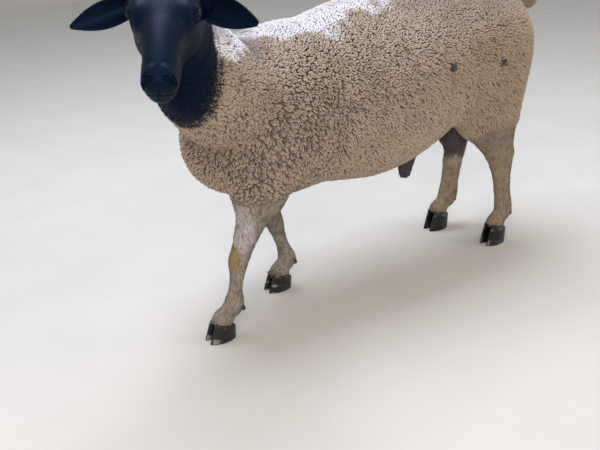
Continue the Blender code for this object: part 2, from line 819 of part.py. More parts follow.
def make_ear(name, frame, head, sign):
    droop, forward, lean = (math.radians(a) for a in (EAR_DROOP[sign], EAR_FORWARD[sign], EAR_LEAN))
    root = head_point(frame, EAR_ROOT, sign)
    axis = head_direction(frame, (math.sin(forward), math.cos(forward) * math.cos(droop), -math.sin(droop)), sign)
    broad = head_direction(frame, (-math.sin(lean), 0, math.cos(lean)))
    broad = (broad - axis * broad.dot(axis)).normalized()
    front = axis.cross(broad).normalized() * -sign
    if front.dot(head_direction(frame, (1, 0, 0))) < 0:
        front = -front
    rows, columns = 10, 7
    points = []
    for face in (0, 1):
        for i in range(rows):
            along = i / (rows - 1)
            half = max(ear_width(along), 0.003)
            cup = (0.95 - 0.75 * along) * half
            thick = EAR_THICKNESS * (1 - 0.45 * along)
            for j in range(columns):
                across = 2 * j / (columns - 1) - 1
                point = root + along * EAR_LENGTH[sign] * axis + across * half * (1 - 0.25 * (1 - along)) * broad
                point += (cup * (across**2 - 0.55) + EAR_CURL * along**2) * front
                point += (0.5 - face) * thick * (1 - 0.55 * across**2) * front
                points.append(point)
    ear = mesh_object(name, points, sheet_faces(rows, columns))
    return combined(ear, swollen(head, GAP), "DIFFERENCE")


def make_head(frame):
    limbs = head_limbs(frame)

    def shape(points):
        return field(points, limbs)

    head = thinned(sculpted("head", limbs, HEAD_VOXEL), HEAD_TRIANGLES)
    plain = copied(head, "plain_head")
    finish_head(head, frame, shape)
    for name, sign in (("left", 1), ("right", -1)):
        make_ear(f"ear_{name}", frame, plain, sign)
        ball(f"eye_{name}", eye_centre(frame, shape, sign), EYE_RADIUS)
    bpy.data.objects.remove(plain)
    return head


# Hooves and small parts


def claw_outline(length, width, sign):
    """One claw from above, its toe at -X and its flat wall towards the other claw."""
    points = []
    for step in range(CLAW_SIDES):
        turn = 2 * math.pi * step / CLAW_SIDES
        x = 0.5 * length * math.cos(turn)
        y = width * math.sin(turn) * (0.62 if math.sin(turn) > 0 else 0.38)
        points.append((x, sign * y * (1 - 0.40 * max(0, -math.cos(turn)) ** 2)))
    return points


def make_claw(name, coronet, side, sign):
    """A claw of the hoof, from its sole on the floor to the sloping coronet."""
    x, y = coronet[0], coronet[1] * side
    points = []
    n = CLAW_SIDES
    for dx, dy in claw_outline(SOLE_LENGTH, CLAW_WIDTH, sign):
        points.append((x + dx - TOE_REACH, y + sign * CLAW_SPREAD + dy, 0))
    for dx, dy in claw_outline(CLAW_TOP_LENGTH, CLAW_TOP_WIDTH, sign):
        top = coronet[2] - CORONET_DROP - GAP - CORONET_SLOPE * dx
        points.append((x + dx, y + sign * CLAW_SPREAD + dy, top))
    faces = [tuple(range(n)), tuple(range(n, 2 * n))]
    faces += [(i, (i + 1) % n, n + (i + 1) % n, n + i) for i in range(n)]
    return mesh_object(name, points, faces)


def make_dewclaw(name, leg_object, fetlock, side, sign):
    dx, dy, dz = DEWCLAW_PLACE
    place = (fetlock[0] + dx, fetlock[1] * side + sign * dy, fetlock[2] + dz)
    axis = Vector(DEWCLAW_AXIS) * Vector((1, sign, 1))
    turn = axis.to_track_quat("Z", "Y").to_matrix().to_4x4()
    wide, narrow = DEWCLAW_RADIUS
    bm = bmesh.new()
    bmesh.ops.create_cone(bm, cap_ends=True, segments=8, radius1=wide, radius2=narrow,
                          depth=DEWCLAW_LENGTH, matrix=Matrix.Translation(place) @ turn)
    mesh = bpy.data.meshes.new(name)
    bm.to_mesh(mesh)
    bm.free()
    return combined(new_object(name, mesh), swollen(leg_object, GAP), "DIFFERENCE")


def make_small(name, stations, voxel, triangles, torso):
    """A small soft part whose root fills a socket in the torso."""
    part = thinned(sculpted(name, [Limb(stations, 0.01, LEVEL)], voxel), triangles)
    combined(torso, swollen(part, GAP), "DIFFERENCE")


# Finishes


def material(name):
    colour, roughness = MATERIALS[name]
    made = bpy.data.materials.new(name)
    made.use_nodes = True
    shader = made.node_tree.nodes["Principled BSDF"]
    shader.inputs["Base Color"].default_value = (*colour, 1)
    shader.inputs["Roughness"].default_value = roughness
    shader.inputs["Metallic"].default_value = 0
    return made


def finish(name):
    for start, look in (("claw", "horn_black"), ("dewclaw", "horn_black"), ("eye", "eye"),
                        ("head", "black_hair"), ("ear", "black_hair"), ("foreleg", "cream_hair"),
                        ("hindleg", "cream_hair"), ("scrotum", "bare_skin"), ("sheath", "bare_skin")):
        if name.startswith(start):
            return look
    return "fleece"


def main():
    for obj in list(bpy.data.objects):
        bpy.data.objects.remove(obj, do_unlink=True)
    head = make_head(head_frame())
    limbs = body_limbs()
    body = sculpted("body", limbs, BODY_VOXEL)
    wool = make_woolly(body, limbs)
    torso = make_torso(wool)
    make_neck(wool, head)
    bpy.data.objects.remove(wool)
    for name, side in (("left", 1), ("right", -1)):
        for end, joints, top, front in (
            ("fore", FORE[name], FORELEG_TOP, 0.0),
            ("hind", HIND[name], HINDLEG_TOP, HINDLEG_FRONT),
        ):
            leg = make_leg(body, f"{end}leg_{name}", joints, side, top, front)
            for place, sign in (("outer", -side), ("inner", side)):
                foot = f"{end}_{name}_{place}"
                make_claw(f"claw_{foot}", joints["coronet"], side, sign)
                make_dewclaw(f"dewclaw_{foot}", leg, joints["fetlock"], side, sign)
    bpy.data.objects.remove(body)
    make_small("tail", TAIL, 0.006, 260, torso)
    make_small("scrotum", SCROTUM, 0.006, 240, torso)
    make_small("sheath", SHEATH, 0.005, 160, torso)
    looks = {name: material(name) for name in MATERIALS}
    for obj in bpy.data.objects:
        obj.data.transform(Matrix.Translation((-CENTRE[0], -CENTRE[1], 0)))
        obj.data.materials.clear()
        obj.data.materials.append(looks[finish(obj.name)])
        obj.data.shade_smooth()


main()
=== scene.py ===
# %% [markdown]
# # A Dorper ram, life size
#
# The ram stands with its head turned to its left: a black head and neck, a body
# of short crimped wool, and pale legs with short hair. It is built in layers, as
# the real animal is: one skin over the whole body, then eyes and hooves, then
# the coat, lock by lock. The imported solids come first. They fix the size and the
# place of everything that follows.

import math

import bmesh
import bpy
import numpy as np
from mathutils import Matrix, Vector, noise
from mathutils.kdtree import KDTree


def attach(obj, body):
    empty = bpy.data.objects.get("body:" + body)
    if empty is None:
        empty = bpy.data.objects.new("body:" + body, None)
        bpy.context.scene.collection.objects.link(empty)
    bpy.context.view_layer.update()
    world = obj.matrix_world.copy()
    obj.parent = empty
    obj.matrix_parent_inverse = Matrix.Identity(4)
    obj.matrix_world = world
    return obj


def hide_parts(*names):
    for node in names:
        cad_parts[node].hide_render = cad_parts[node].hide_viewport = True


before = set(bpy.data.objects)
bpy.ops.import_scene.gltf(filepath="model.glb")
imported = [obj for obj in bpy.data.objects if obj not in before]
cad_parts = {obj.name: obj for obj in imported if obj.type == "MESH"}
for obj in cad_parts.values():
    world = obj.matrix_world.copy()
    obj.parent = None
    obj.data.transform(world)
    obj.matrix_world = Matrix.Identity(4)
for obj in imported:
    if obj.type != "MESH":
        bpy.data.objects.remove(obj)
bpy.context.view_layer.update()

# %% [markdown]
# ## Camera, floor and light
#
# The photograph looks down on the ram from its left front, from about the height
# of a person's hip. The camera is set by its place and three angles, so that the
# legs, the back and the face fall where they do in the picture. The light is that
# of a plain studio: a large soft lamp overhead, which whitens the back as daylight
# from a roof does, a weaker one beside the camera, and a pale surround.

# %% Camera
CAMERA_PLACE = Vector((-1.0666, -1.4295, 0.952))
CAMERA_YAW, CAMERA_PITCH, CAMERA_ROLL = 32.0, 23.4, -2.8
FOCAL_PIXELS, PICTURE_WIDTH, SENSOR = 850, 600, 36


def camera_turn(yaw, pitch, roll):
    """The camera's axes from its angles, in degrees."""
    y, p, r = (math.radians(angle) for angle in (yaw, pitch, roll))
    forward = Vector((math.sin(y) * math.cos(p), math.cos(y) * math.cos(p), -math.sin(p)))
    right = Vector((math.cos(y), -math.sin(y), 0))
    up = right.cross(forward)
    across = math.cos(r) * right + math.sin(r) * up
    upwards = -math.sin(r) * right + math.cos(r) * up
    return Matrix((across, upwards, -forward)).transposed()


lens = bpy.data.cameras.new("camera")
lens.sensor_width = SENSOR
lens.lens = FOCAL_PIXELS / PICTURE_WIDTH * SENSOR
lens.clip_start = 0.05
camera = bpy.data.objects.new("camera", lens)
bpy.context.scene.collection.objects.link(camera)
camera.matrix_world = Matrix.Translation(CAMERA_PLACE) @ camera_turn(CAMERA_YAW, CAMERA_PITCH, CAMERA_ROLL).to_4x4()
bpy.context.scene.camera = camera
print("lens", round(lens.lens, 1), "mm")


# %% Colours and shader nodes
def linear(code, alpha=1.0):
    """An sRGB hex colour as the linear numbers that a shader takes."""
    channels = [int(code[i : i + 2], 16) / 255 for i in (1, 3, 5)]
    return (*(c / 12.92 if c <= 0.04045 else ((c + 0.055) / 1.055) ** 2.4 for c in channels), alpha)


def node(tree, kind, links=None, **settings):
    """Adds a node. Settings are its properties, or its sockets by name; links go into its sockets."""
    made = tree.nodes.new(kind)
    for key, value in settings.items():
        if hasattr(made, key):
            setattr(made, key, value)
        else:
            made.inputs[key.replace("_", " ")].default_value = value
    for socket, source in (links or {}).items():
        tree.links.new(source, made.inputs[socket])
    return made


def set_sockets(shader, **values):
    """Sets sockets by name, with _ for each space."""
    for name, value in values.items():
        shader.inputs[name.replace("_", " ")].default_value = value


def new_material(name):
    """An empty material with its output and its one shader."""
    material = bpy.data.materials.new(name)
    material.use_nodes = True
    tree = material.node_tree
    tree.nodes.clear()
    output = tree.nodes.new("ShaderNodeOutputMaterial")
    shader = tree.nodes.new("ShaderNodeBsdfPrincipled")
    tree.links.new(shader.outputs[0], output.inputs[0])
    return material, tree, shader


# %% Floor and lights
def new_piece(name, data):
    """An object of this mesh or lamp in the scene."""
    piece = bpy.data.objects.new(name, data)
    bpy.context.scene.collection.objects.link(piece)
    return piece


FLOOR_STEPS = 12


def floor_mesh(size, back, rise, radius):
    """A floor that curves up into a backdrop, from a strip of faces."""
    bm = bmesh.new()
    corner = bm.verts.new((-size, -size, 0)), bm.verts.new((-size, back, 0))
    bm.edges.new(corner)
    turned = bmesh.ops.spin(
        bm, geom=[corner[1]], cent=(0, back, radius), axis=(1, 0, 0), angle=math.pi / 2,
        steps=FLOOR_STEPS, use_merge=False,
    )
    top = [item for item in turned["geom_last"] if isinstance(item, bmesh.types.BMVert)][0]
    bmesh.ops.extrude_vert_indiv(bm, verts=[top])
    bm.verts.ensure_lookup_table()
    bm.verts[-1].co.z += rise
    side = bmesh.ops.extrude_edge_only(bm, edges=bm.edges[:])
    moved = [item for item in side["geom"] if isinstance(item, bmesh.types.BMVert)]
    bmesh.ops.translate(bm, verts=moved, vec=(2 * size, 0, 0))
    bmesh.ops.recalc_face_normals(bm, faces=bm.faces)
    mesh = bpy.data.meshes.new("floor")
    bm.to_mesh(mesh)
    bm.free()
    mesh.shade_smooth()
    return mesh


floor = new_piece("floor", floor_mesh(7.0, 5.0, 4.0, 1.5))
plaster, tree, shader = new_material("pale_plaster")
grain = node(tree, "ShaderNodeTexNoise", Scale=60.0, Detail=4.0)
tone = node(tree, "ShaderNodeValToRGB", {"Fac": grain.outputs["Fac"]})
tone.color_ramp.elements[0].color = linear("#c9c5be")
tone.color_ramp.elements[1].color = linear("#d6d2cb")
tree.links.new(tone.outputs["Color"], shader.inputs["Base Color"])
set_sockets(shader, Roughness=0.85)
floor.data.materials.append(plaster)


def soft_lamp(name, place, target, size, watts, colour):
    """A square lamp that faces a point."""
    lamp = bpy.data.lights.new(name, "AREA")
    lamp.shape = "SQUARE"
    lamp.size = size
    lamp.energy = watts
    lamp.color = linear(colour)[:3]
    turn = (Vector(target) - Vector(place)).to_track_quat("-Z", "Y")
    new_piece(name, lamp).matrix_world = Matrix.Translation(place) @ turn.to_matrix().to_4x4()


RAM_MIDDLE = (0, 0, 0.45)
soft_lamp("overhead", (0.0, 0.8, 2.9), RAM_MIDDLE, 1.8, 84, "#e6eeff")
soft_lamp("beside_camera", (-2.0, -2.6, 1.9), RAM_MIDDLE, 1.8, 78, "#fff4e6")
soft_lamp("far_side", (2.6, -1.6, 1.5), RAM_MIDDLE, 1.6, 21, "#fff8f0")
world = bpy.data.worlds.new("surround")
world.use_nodes = True
set_sockets(world.node_tree.nodes["Background"], Color=linear("#e8ebf0"), Strength=0.55)
bpy.context.scene.world = world
bpy.context.scene.view_settings.view_transform = "Standard"

# %% [markdown]
# ## The body as a field
#
# Flesh has no edges, so the body is described by tubes, here called limbs, whose
# width changes along them and which melt into each other where they meet. A number
# is worked out for any place: negative inside, zero on the surface. The stations
# are the same as those of the solids, so the skin lies where they are. Sculpting by
# hand would give more freedom, but couldn't be repeated or measured.

# %% Limbs and how they blend
# The stations are measured from the middle of the chest. This shift puts the
# finished pieces over the frame's own origin.
SHIFT = Vector((0.0554, 0.1005, 0))
LEVEL = (0, 1, 0)


def resample(stations, steps):
    """A smooth curve through the stations of a limb."""
    rows = np.array(stations, float)
    if len(rows) == 2:
        return rows
    padded = np.vstack([2 * rows[0] - rows[1], rows, 2 * rows[-1] - rows[-2]])
    out = []
    for i in range(1, len(padded) - 2):
        a, b, c, d = padded[i - 1 : i + 3]
        for t in np.arange(steps) / steps:
            bend = (2 * a - 5 * b + 4 * c - d) * t**2 + (3 * b - a - 3 * c + d) * t**3
            out.append(0.5 * (2 * b + (c - a) * t + bend))
    out.append(rows[-1])
    return np.array(out)


class Limb:
    """A smooth tube through stations (x, y, z, half-width, half-depth)."""

    def __init__(self, stations, blend=0.02, side=None, steps=4):
        self.rows = resample(stations, steps)
        self.blend = blend
        self.side = side
        reach = self.rows[:, 3:5].max() + 0.03 + blend
        self.low = self.rows[:, :3].min(0) - reach
        self.high = self.rows[:, :3].max(0) + reach

    def side_of(self, axis):
        if self.side is not None:
            return np.array(self.side, float)
        across = np.cross(axis, (0, 0, 1))
        return across / max(np.linalg.norm(across), 1e-9)

    def distance(self, points):
        best = np.full(len(points), 9.0)
        for start, end in zip(self.rows[:-1], self.rows[1:]):
            axis = end[:3] - start[:3]
            side = self.side_of(axis)
            length = np.linalg.norm(axis)
            # A tapered tube is widest a little behind the place square to its axis
            passed = (points - start[:3]) @ axis / length
            wide = np.sqrt(np.maximum(((points - start[:3]) ** 2).sum(1) - passed**2, 0))
            taper = (end[3:5] - start[3:5]).mean() / length
            along = np.clip((passed + taper * wide) / length, 0, 1)
            across = start[3] + along * (end[3] - start[3])
            deep = start[4] + along * (end[4] - start[4])
            off = points - start[:3] - along[:, None] * axis
            sideways = off @ side
            rest = np.sqrt(np.maximum((off * off).sum(1) - sideways**2, 0))
            k0 = np.sqrt((sideways / across) ** 2 + (rest / deep) ** 2)
            k1 = np.sqrt((sideways / across**2) ** 2 + (rest / deep**2) ** 2)
            np.minimum(best, k0 * (k0 - 1) / np.maximum(k1, 1e-9), out=best)
        return best

    def near(self, points):
        return np.all((points > self.low) & (points < self.high), axis=1)


def blended(a, b, k):
    """The smaller of two distances, rounded over k where they meet."""
    h = np.clip(0.5 + 0.5 * (b - a) / k, 0, 1)
    return b * (1 - h) + a * h - k * h * (1 - h)


def field(points, limbs, grooves=()):
    """Distance from the surface of the joined limbs, with grooves pressed into it."""
    value = np.full(len(points), 0.5)
    for limb in limbs:
        near = limb.near(points)
        if near.any():
            value[near] = blended(value[near], limb.distance(points[near]), limb.blend)
    for groove in grooves:
        near = groove.near(points)
        if near.any():
            value[near] = -blended(-value[near], groove.distance(points[near]), groove.blend)
    return value


def smooth_step(low, high, value):
    t = np.clip((value - low) / (high - low), 0, 1)
    return t * t * (3 - 2 * t)


# %% [markdown]
# ## The stance
#
# Each leg is given by its joints, as a rider or a judge would name them. The left
# foreleg is a step ahead of the right one, and the hind legs stand nearly square.

# %% Trunk, neck and legs
FORE = {
    "left": dict(elbow=(-0.318, -0.092, 0.315), knee=(-0.372, -0.076, 0.170),
                 fetlock=(-0.390, -0.075, 0.074), coronet=(-0.420, -0.074, 0.043)),
    "right": dict(elbow=(-0.222, -0.092, 0.315), knee=(-0.198, -0.062, 0.168),
                  fetlock=(-0.176, -0.050, 0.073), coronet=(-0.198, -0.050, 0.043)),
}
HIND = {
    "left": dict(hip=(0.310, -0.085, 0.450), hock=(0.392, -0.080, 0.225),
                 fetlock=(0.413, -0.076, 0.086), coronet=(0.388, -0.076, 0.053), girth=1.0),
    "right": dict(hip=(0.295, -0.085, 0.450), hock=(0.392, -0.088, 0.225),
                  fetlock=(0.368, -0.087, 0.086), coronet=(0.336, -0.087, 0.053), girth=1.18),
}
SIDES = {"left": 1, "right": -1}
TRUNK = [
    (-0.305, 0, 0.432, 0.112, 0.122), (-0.225, 0, 0.459, 0.148, 0.172),
    (-0.110, 0, 0.464, 0.166, 0.177), (0.000, 0, 0.463, 0.180, 0.202),
    (0.090, 0, 0.479, 0.182, 0.194), (0.165, 0, 0.503, 0.175, 0.168),
    (0.250, 0, 0.517, 0.164, 0.155), (0.350, 0, 0.519, 0.150, 0.147),
]
BRISKET = [(-0.335, 0, 0.395, 0.078, 0.080), (-0.240, 0, 0.365, 0.090, 0.082), (-0.130, 0, 0.380, 0.090, 0.084)]
NECK = [
    (-0.230, -0.005, 0.478, 0.122, 0.140), (-0.320, -0.045, 0.514, 0.106, 0.120),
    (-0.400, -0.098, 0.554, 0.090, 0.101), (-0.458, -0.143, 0.614, 0.076, 0.092),
    (-0.495, -0.172, 0.670, 0.062, 0.068),
]
THROAT = [(-0.420, -0.115, 0.540, 0.066, 0.080), (-0.496, -0.178, 0.592, 0.050, 0.062)]
TAIL = [(0.430, 0, 0.626, 0.042, 0.036), (0.492, 0, 0.620, 0.037, 0.033), (0.536, 0, 0.604, 0.029, 0.026)]
SCROTUM = [(0.296, 0, 0.365, 0.026, 0.026), (0.302, 0, 0.325, 0.031, 0.030), (0.304, 0, 0.292, 0.036, 0.036)]
SHEATH = [(0.165, 0, 0.325, 0.027, 0.034), (0.150, 0, 0.264, 0.019, 0.022), (0.145, 0, 0.226, 0.012, 0.014)]


def mirrored(stations, side):
    """Stations written for the left side, at -Y, or turned over to the right."""
    return [(x, y * side, z, a, b) for x, y, z, a, b in stations]


def each_leg(*groups):
    """Every leg of these groups, and the number that turns its places over to its side."""
    return [(legs[name], side) for legs in groups for name, side in SIDES.items()]


def between(a, b, t):
    """The place a share t of the way from a to b."""
    return tuple(p + t * (q - p) for p, q in zip(a, b))


def hoof_core(coronet):
    """The last stations of a leg: the pastern's end, inside the claws."""
    x, y, z = coronet
    return [(x, y, z, 0.0215, 0.0230), (x - 0.004, y, z - 0.018, 0.0215, 0.0240)]


def shoulder(leg):
    x, y, z = leg["elbow"]
    return [
        (-0.165, -0.068, 0.562, 0.048, 0.050),
        (-0.235, -0.098, 0.480, 0.058, 0.088),
        (0.5 * x - 0.130, -0.098, 0.400, 0.054, 0.074),
        (x, y, z, 0.041, 0.054),
    ]


def foreleg(leg):
    elbow, knee, fetlock, coronet = leg["elbow"], leg["knee"], leg["fetlock"], leg["coronet"]
    return [
        (*elbow, 0.041, 0.050),
        (*between(elbow, knee, 0.35), 0.030, 0.034),
        (*between(elbow, knee, 0.75), 0.0225, 0.0230),
        (*knee, 0.0210, 0.0210),
        (*between(knee, fetlock, 0.3), 0.0155, 0.0160),
        (*between(knee, fetlock, 0.65), 0.0140, 0.0145),
        (*fetlock, 0.0205, 0.0205),
        (*between(fetlock, coronet, 0.5), 0.0180, 0.0185),
        *hoof_core(coronet),
    ]


def thigh(leg):
    x, y, z = leg["hip"]
    return [
        (x - 0.010, y * 0.8, z + 0.065, 0.078, 0.105),
        (x, y, z, 0.078, 0.118),
        (x + 0.010, y * 1.05, z - 0.055, 0.066, 0.098),
    ]


def hindleg(leg):
    hip, hock, fetlock, coronet = leg["hip"], leg["hock"], leg["fetlock"], leg["coronet"]
    girth = leg["girth"]
    x, y, z = hock
    return [
        (*between(hip, hock, 0.25), 0.062, 0.085),
        (*between(hip, hock, 0.55), 0.046, 0.066),
        (x - 0.018, y, z + 0.055, 0.035, 0.047),
        (x, y, z, 0.0245, 0.0335),
        (*between(hock, fetlock, 0.3), 0.0200, 0.0250 * girth),
        (*between(hock, fetlock, 0.65), 0.0185, 0.0215 * girth),
        (*fetlock, 0.0215, 0.0235 * girth),
        (*between(fetlock, coronet, 0.5), 0.0185, 0.0195),
        *hoof_core(coronet),
    ]


def heel(leg):
    x, y, z = leg["hock"]
    return [(x - 0.010, y, z + 0.045, 0.016, 0.018), (x + 0.020, y, z + 0.020, 0.0135, 0.0145)]


def body_limbs():
    limbs = [Limb(TRUNK, 0.03, LEVEL, 5), Limb(BRISKET, 0.06, LEVEL), Limb(NECK, 0.03), Limb(THROAT, 0.04)]
    for name, side in SIDES.items():
        for shape, legs, blend in (
            (shoulder, FORE, 0.045),
            (foreleg, FORE, 0.025),
            (thigh, HIND, 0.045),
            (hindleg, HIND, 0.025),
            (heel, HIND, 0.016),
        ):
            limbs.append(Limb(mirrored(shape(legs[name]), side), blend, LEVEL))
    for stations, blend in ((TAIL, 0.040), (SCROTUM, 0.018), (SHEATH, 0.025)):
        limbs.append(Limb(stations, blend, LEVEL))
    return limbs


print("body limbs:", len(body_limbs()))

# %% [markdown]
# ## The head
#
# A ram of this breed has a long blunt face, a flat forehead, drooping ears and no
# horns. The head is written in its own frame, X to the muzzle, Y to its left and Z
# up, and is then set on the neck, turned and lowered. Ridges that show on the real
# face are limbs too: the brow, the cheek, the crest below the eye, and the lips.
# The nostrils, the line of the mouth and the cleft of the upper lip are grooves.

# %% Head in its own frame
HEAD_PLACE = (-0.515, -0.180, 0.748)
HEAD_HEADING, HEAD_PITCH, HEAD_ROLL = -121.5, 18, -2
SKULL = [
    ([(0.000, 0, -0.004, 0.050, 0.046), (0.045, 0, 0.000, 0.055, 0.047), (0.085, 0, 0.000, 0.050, 0.044)], 0.020),
    ([(0.080, 0, 0.002, 0.046, 0.042), (0.120, 0, 0.000, 0.037, 0.039), (0.165, 0, -0.008, 0.030, 0.034),
      (0.205, 0, -0.018, 0.0265, 0.028), (0.226, 0, -0.024, 0.0255, 0.023)], 0.020),
    ([(0.045, 0, -0.048, 0.044, 0.036), (0.100, 0, -0.048, 0.034, 0.030), (0.160, 0, -0.046, 0.024, 0.022),
      (0.210, 0, -0.047, 0.021, 0.015)], 0.025),
    ([(0.215, 0, -0.056, 0.018, 0.012), (0.228, 0, -0.052, 0.016, 0.010)], 0.012),
]
SKULL_PAIRS = [
    ([(0.030, 0.036, -0.040, 0.018, 0.042), (0.075, 0.036, -0.036, 0.016, 0.030)], 0.020),
    ([(0.070, 0.040, 0.026, 0.012, 0.014), (0.100, 0.037, 0.022, 0.010, 0.012)], 0.016),
    ([(0.072, 0.040, 0.010, 0.014, 0.021), (0.102, 0.038, 0.008, 0.012, 0.019)], 0.016),
    ([(0.195, 0.015, -0.030, 0.013, 0.017), (0.228, 0.0115, -0.030, 0.0135, 0.016)], 0.012),
    # The crest from below the eye to the muzzle
    ([(0.085, 0.042, -0.016, 0.005, 0.006), (0.120, 0.034, -0.018, 0.004, 0.005),
      (0.160, 0.027, -0.022, 0.004, 0.005)], 0.010),
    # The rim of the nostril
    ([(0.228, 0.010, -0.004, 0.004, 0.004), (0.239, 0.021, -0.009, 0.004, 0.004),
      (0.240, 0.024, -0.018, 0.004, 0.004), (0.236, 0.019, -0.027, 0.004, 0.004)], 0.007),
    # The root of the ear
    ([(0.012, 0.034, 0.004, 0.020, 0.020), (0.018, 0.052, 0.000, 0.014, 0.017),
      (0.021, 0.066, -0.006, 0.009, 0.013)], 0.014),
]
NOSTRIL = [(0.2370, 0.0060, -0.0135, 0.0022, 0.0022), (0.2415, 0.0125, -0.0125, 0.0034, 0.0034),
           (0.2405, 0.0185, -0.0165, 0.0036, 0.0036), (0.2375, 0.0195, -0.0235, 0.0022, 0.0022)]
CLEFT = [(0.2520, 0, -0.0180, 0.0014, 0.0020), (0.2480, 0, -0.0300, 0.0014, 0.0020),
         (0.2420, 0, -0.0390, 0.0014, 0.0020)]
MOUTH_HEIGHT, MOUTH_BACK, MOUTH_TURN, MOUTH_HALF = -0.0405, 0.198, math.radians(118), 0.0016
MOUTH_STEPS = 8
EYE_PLACE, EYE_RADIUS = (0.086, 0.020, 0.014), 0.0135
EYE_GAZE, EYE_SLIT, EYE_PROUD = (0.32, 0.92, 0.16), (0.90, -0.30, -0.26), 0.0046
EAR_ROOT = (0.020, 0.038, 0.002)
EAR_WIDTH, EAR_THICKNESS, EAR_LEAN = 0.058, 0.0042, 25
EAR_LENGTH, EAR_DROOP, EAR_FORWARD = {1: 0.127, -1: 0.134}, {1: 8, -1: 18}, {1: 25, -1: 4}


def head_frame():
    heading, pitch = math.radians(HEAD_HEADING), math.radians(HEAD_PITCH)
    forward = Vector((math.cos(heading) * math.cos(pitch), math.sin(heading) * math.cos(pitch), -math.sin(pitch)))
    left = Vector((0, 0, 1)).cross(forward).normalized()
    turn = Matrix.Rotation(math.radians(HEAD_ROLL), 3, forward)
    left, up = turn @ left, turn @ forward.cross(left)
    placed = Matrix((forward, left, up)).transposed().to_4x4()
    placed.translation = HEAD_PLACE
    return placed


HEAD = head_frame()
HEAD_SIDE = HEAD.to_3x3() @ Vector((0, 1, 0))


def head_point(place, sign=1):
    x, y, z = place
    return HEAD @ Vector((x, y * sign, z))


def head_direction(vector, sign=1):
    x, y, z = vector
    return (HEAD.to_3x3() @ Vector((x, y * sign, z))).normalized()


def ear_axes(sign):
    """Along the ear, across its leaf, and forward out of its cup."""
    droop, forward, lean = (math.radians(a) for a in (EAR_DROOP[sign], EAR_FORWARD[sign], EAR_LEAN))
    axis = head_direction((math.sin(forward), math.cos(forward) * math.cos(droop), -math.sin(droop)), sign)
    broad = head_direction((-math.sin(lean), 0, math.cos(lean)))
    broad = (broad - axis * broad.dot(axis)).normalized()
    front = axis.cross(broad).normalized() * -sign
    if front.dot(head_direction((1, 0, 0))) < 0:
        front = -front
    return axis, broad, front


def on_head(stations, blend, sign=1):
    """A limb of the head, placed on the neck."""
    return Limb([(*head_point(s[:3], sign), s[3], s[4]) for s in stations], blend, HEAD_SIDE)


def head_limbs():
    limbs = [on_head(stations, blend) for stations, blend in SKULL]
    for stations, blend in SKULL_PAIRS:
        limbs += [on_head(stations, blend, 1), on_head(stations, blend, -1)]
    return limbs


def reach(limbs, start, direction, furthest=0.12):
    """How far along a direction the surface lies from a point inside it."""
    steps = np.linspace(0, furthest, 241)
    values = field(np.array(start) + steps[:, None] * np.array(direction), limbs)
    return float(steps[np.argmax(values > 0)])


def mouth_line(limbs):
    """Places along the lips' meeting line, from one corner round the muzzle to the other."""
    rows = []
    for step in range(2 * MOUTH_STEPS + 1):
        angle = MOUTH_TURN * (step / MOUTH_STEPS - 1)
        bend = (angle / MOUTH_TURN) ** 2
        start = head_point((MOUTH_BACK, 0, MOUTH_HEIGHT - 0.003 * bend))
        direction = head_direction((math.cos(angle), math.sin(angle), 0))
        edge = start + reach(limbs, start, direction) * direction
        half = MOUTH_HALF * (1 - 0.4 * bend**3)
        rows.append((*edge, half, half))
    return rows


skull = head_limbs()
limbs = body_limbs() + skull
grooves = [Limb(mouth_line(skull), 0.0025), on_head(CLEFT, 0.003)]
grooves += [on_head(NOSTRIL, 0.003, sign) for sign in (1, -1)]
print("limbs in all:", len(limbs), "grooves:", len(grooves))

# %% [markdown]
# ## Where the fleece grows
#
# The fleece stops at a slanting line on the neck, where black hair takes over, and
# above the elbows and hocks. One function says how full it is at a place. The same
# function sinks the skin under the fleece, and later makes the locks shorter.

# %% Fullness of the fleece
COAT_DEPTH = 0.0095
FORE_WOOL_END, HIND_WOOL_END, LOWEST_WOOL = 0.290, 0.315, (0.19, 0.23)
BARE_AROUND = (0.035, 0.075)  # Where wool begins round the sheath and the scrotum
BLACK_EDGE_NORMAL, BLACK_EDGE = np.array((-0.80, -0.55, 0.20)), 0.622
EAR_ROOM = {"from": 0.03, "to": 1.1, "half_width": 0.04, "half_depth": 0.024}


def on_ear(points):
    """True on the leaf of an ear."""
    found = np.zeros(len(points), bool)
    for sign in (1, -1):
        axes = np.array([axis[:] for axis in ear_axes(sign)])
        along, across, out = ((points - np.array(head_point(EAR_ROOT, sign))) @ axes.T).T
        within = (along > EAR_ROOM["from"]) & (along < EAR_ROOM["to"] * EAR_LENGTH[sign])
        found |= within & (np.abs(across) < EAR_ROOM["half_width"]) & (np.abs(out) < EAR_ROOM["half_depth"])
    return found


def behind_black(points):
    """Distance behind the line where black hair ends: negative on the black neck, head and ears."""
    return np.where(on_ear(points), -0.05, BLACK_EDGE - points @ BLACK_EDGE_NORMAL)


def coat(points):
    """How full the fleece is at a place, from 0 on short hair to 1 on the body."""
    full = smooth_step(0.0, 0.045, behind_black(points))
    for legs, joint, wide, low in ((FORE, "elbow", 0.085, FORE_WOOL_END), (HIND, "hock", 0.110, HIND_WOOL_END)):
        above = smooth_step(low + 0.006, low + 0.050, points[:, 2])
        for leg, side in each_leg(legs):
            x, y, _ = leg[joint]
            away = np.hypot(points[:, 0] - x, points[:, 1] - y * side)
            full = np.minimum(full, np.maximum(above, smooth_step(wide, wide + 0.03, away)))
    full = np.minimum(full, smooth_step(*LOWEST_WOOL, points[:, 2]))
    for stations in (SCROTUM, SHEATH):
        places = np.array(stations)[:, :3]
        off = np.maximum(np.maximum(places.min(0) - points, points - places.max(0)), 0)
        full = np.minimum(full, smooth_step(*BARE_AROUND, np.linalg.norm(off, axis=1)))
    return full


def skin_field(points):
    return field(points, limbs, grooves) + COAT_DEPTH * coat(points)


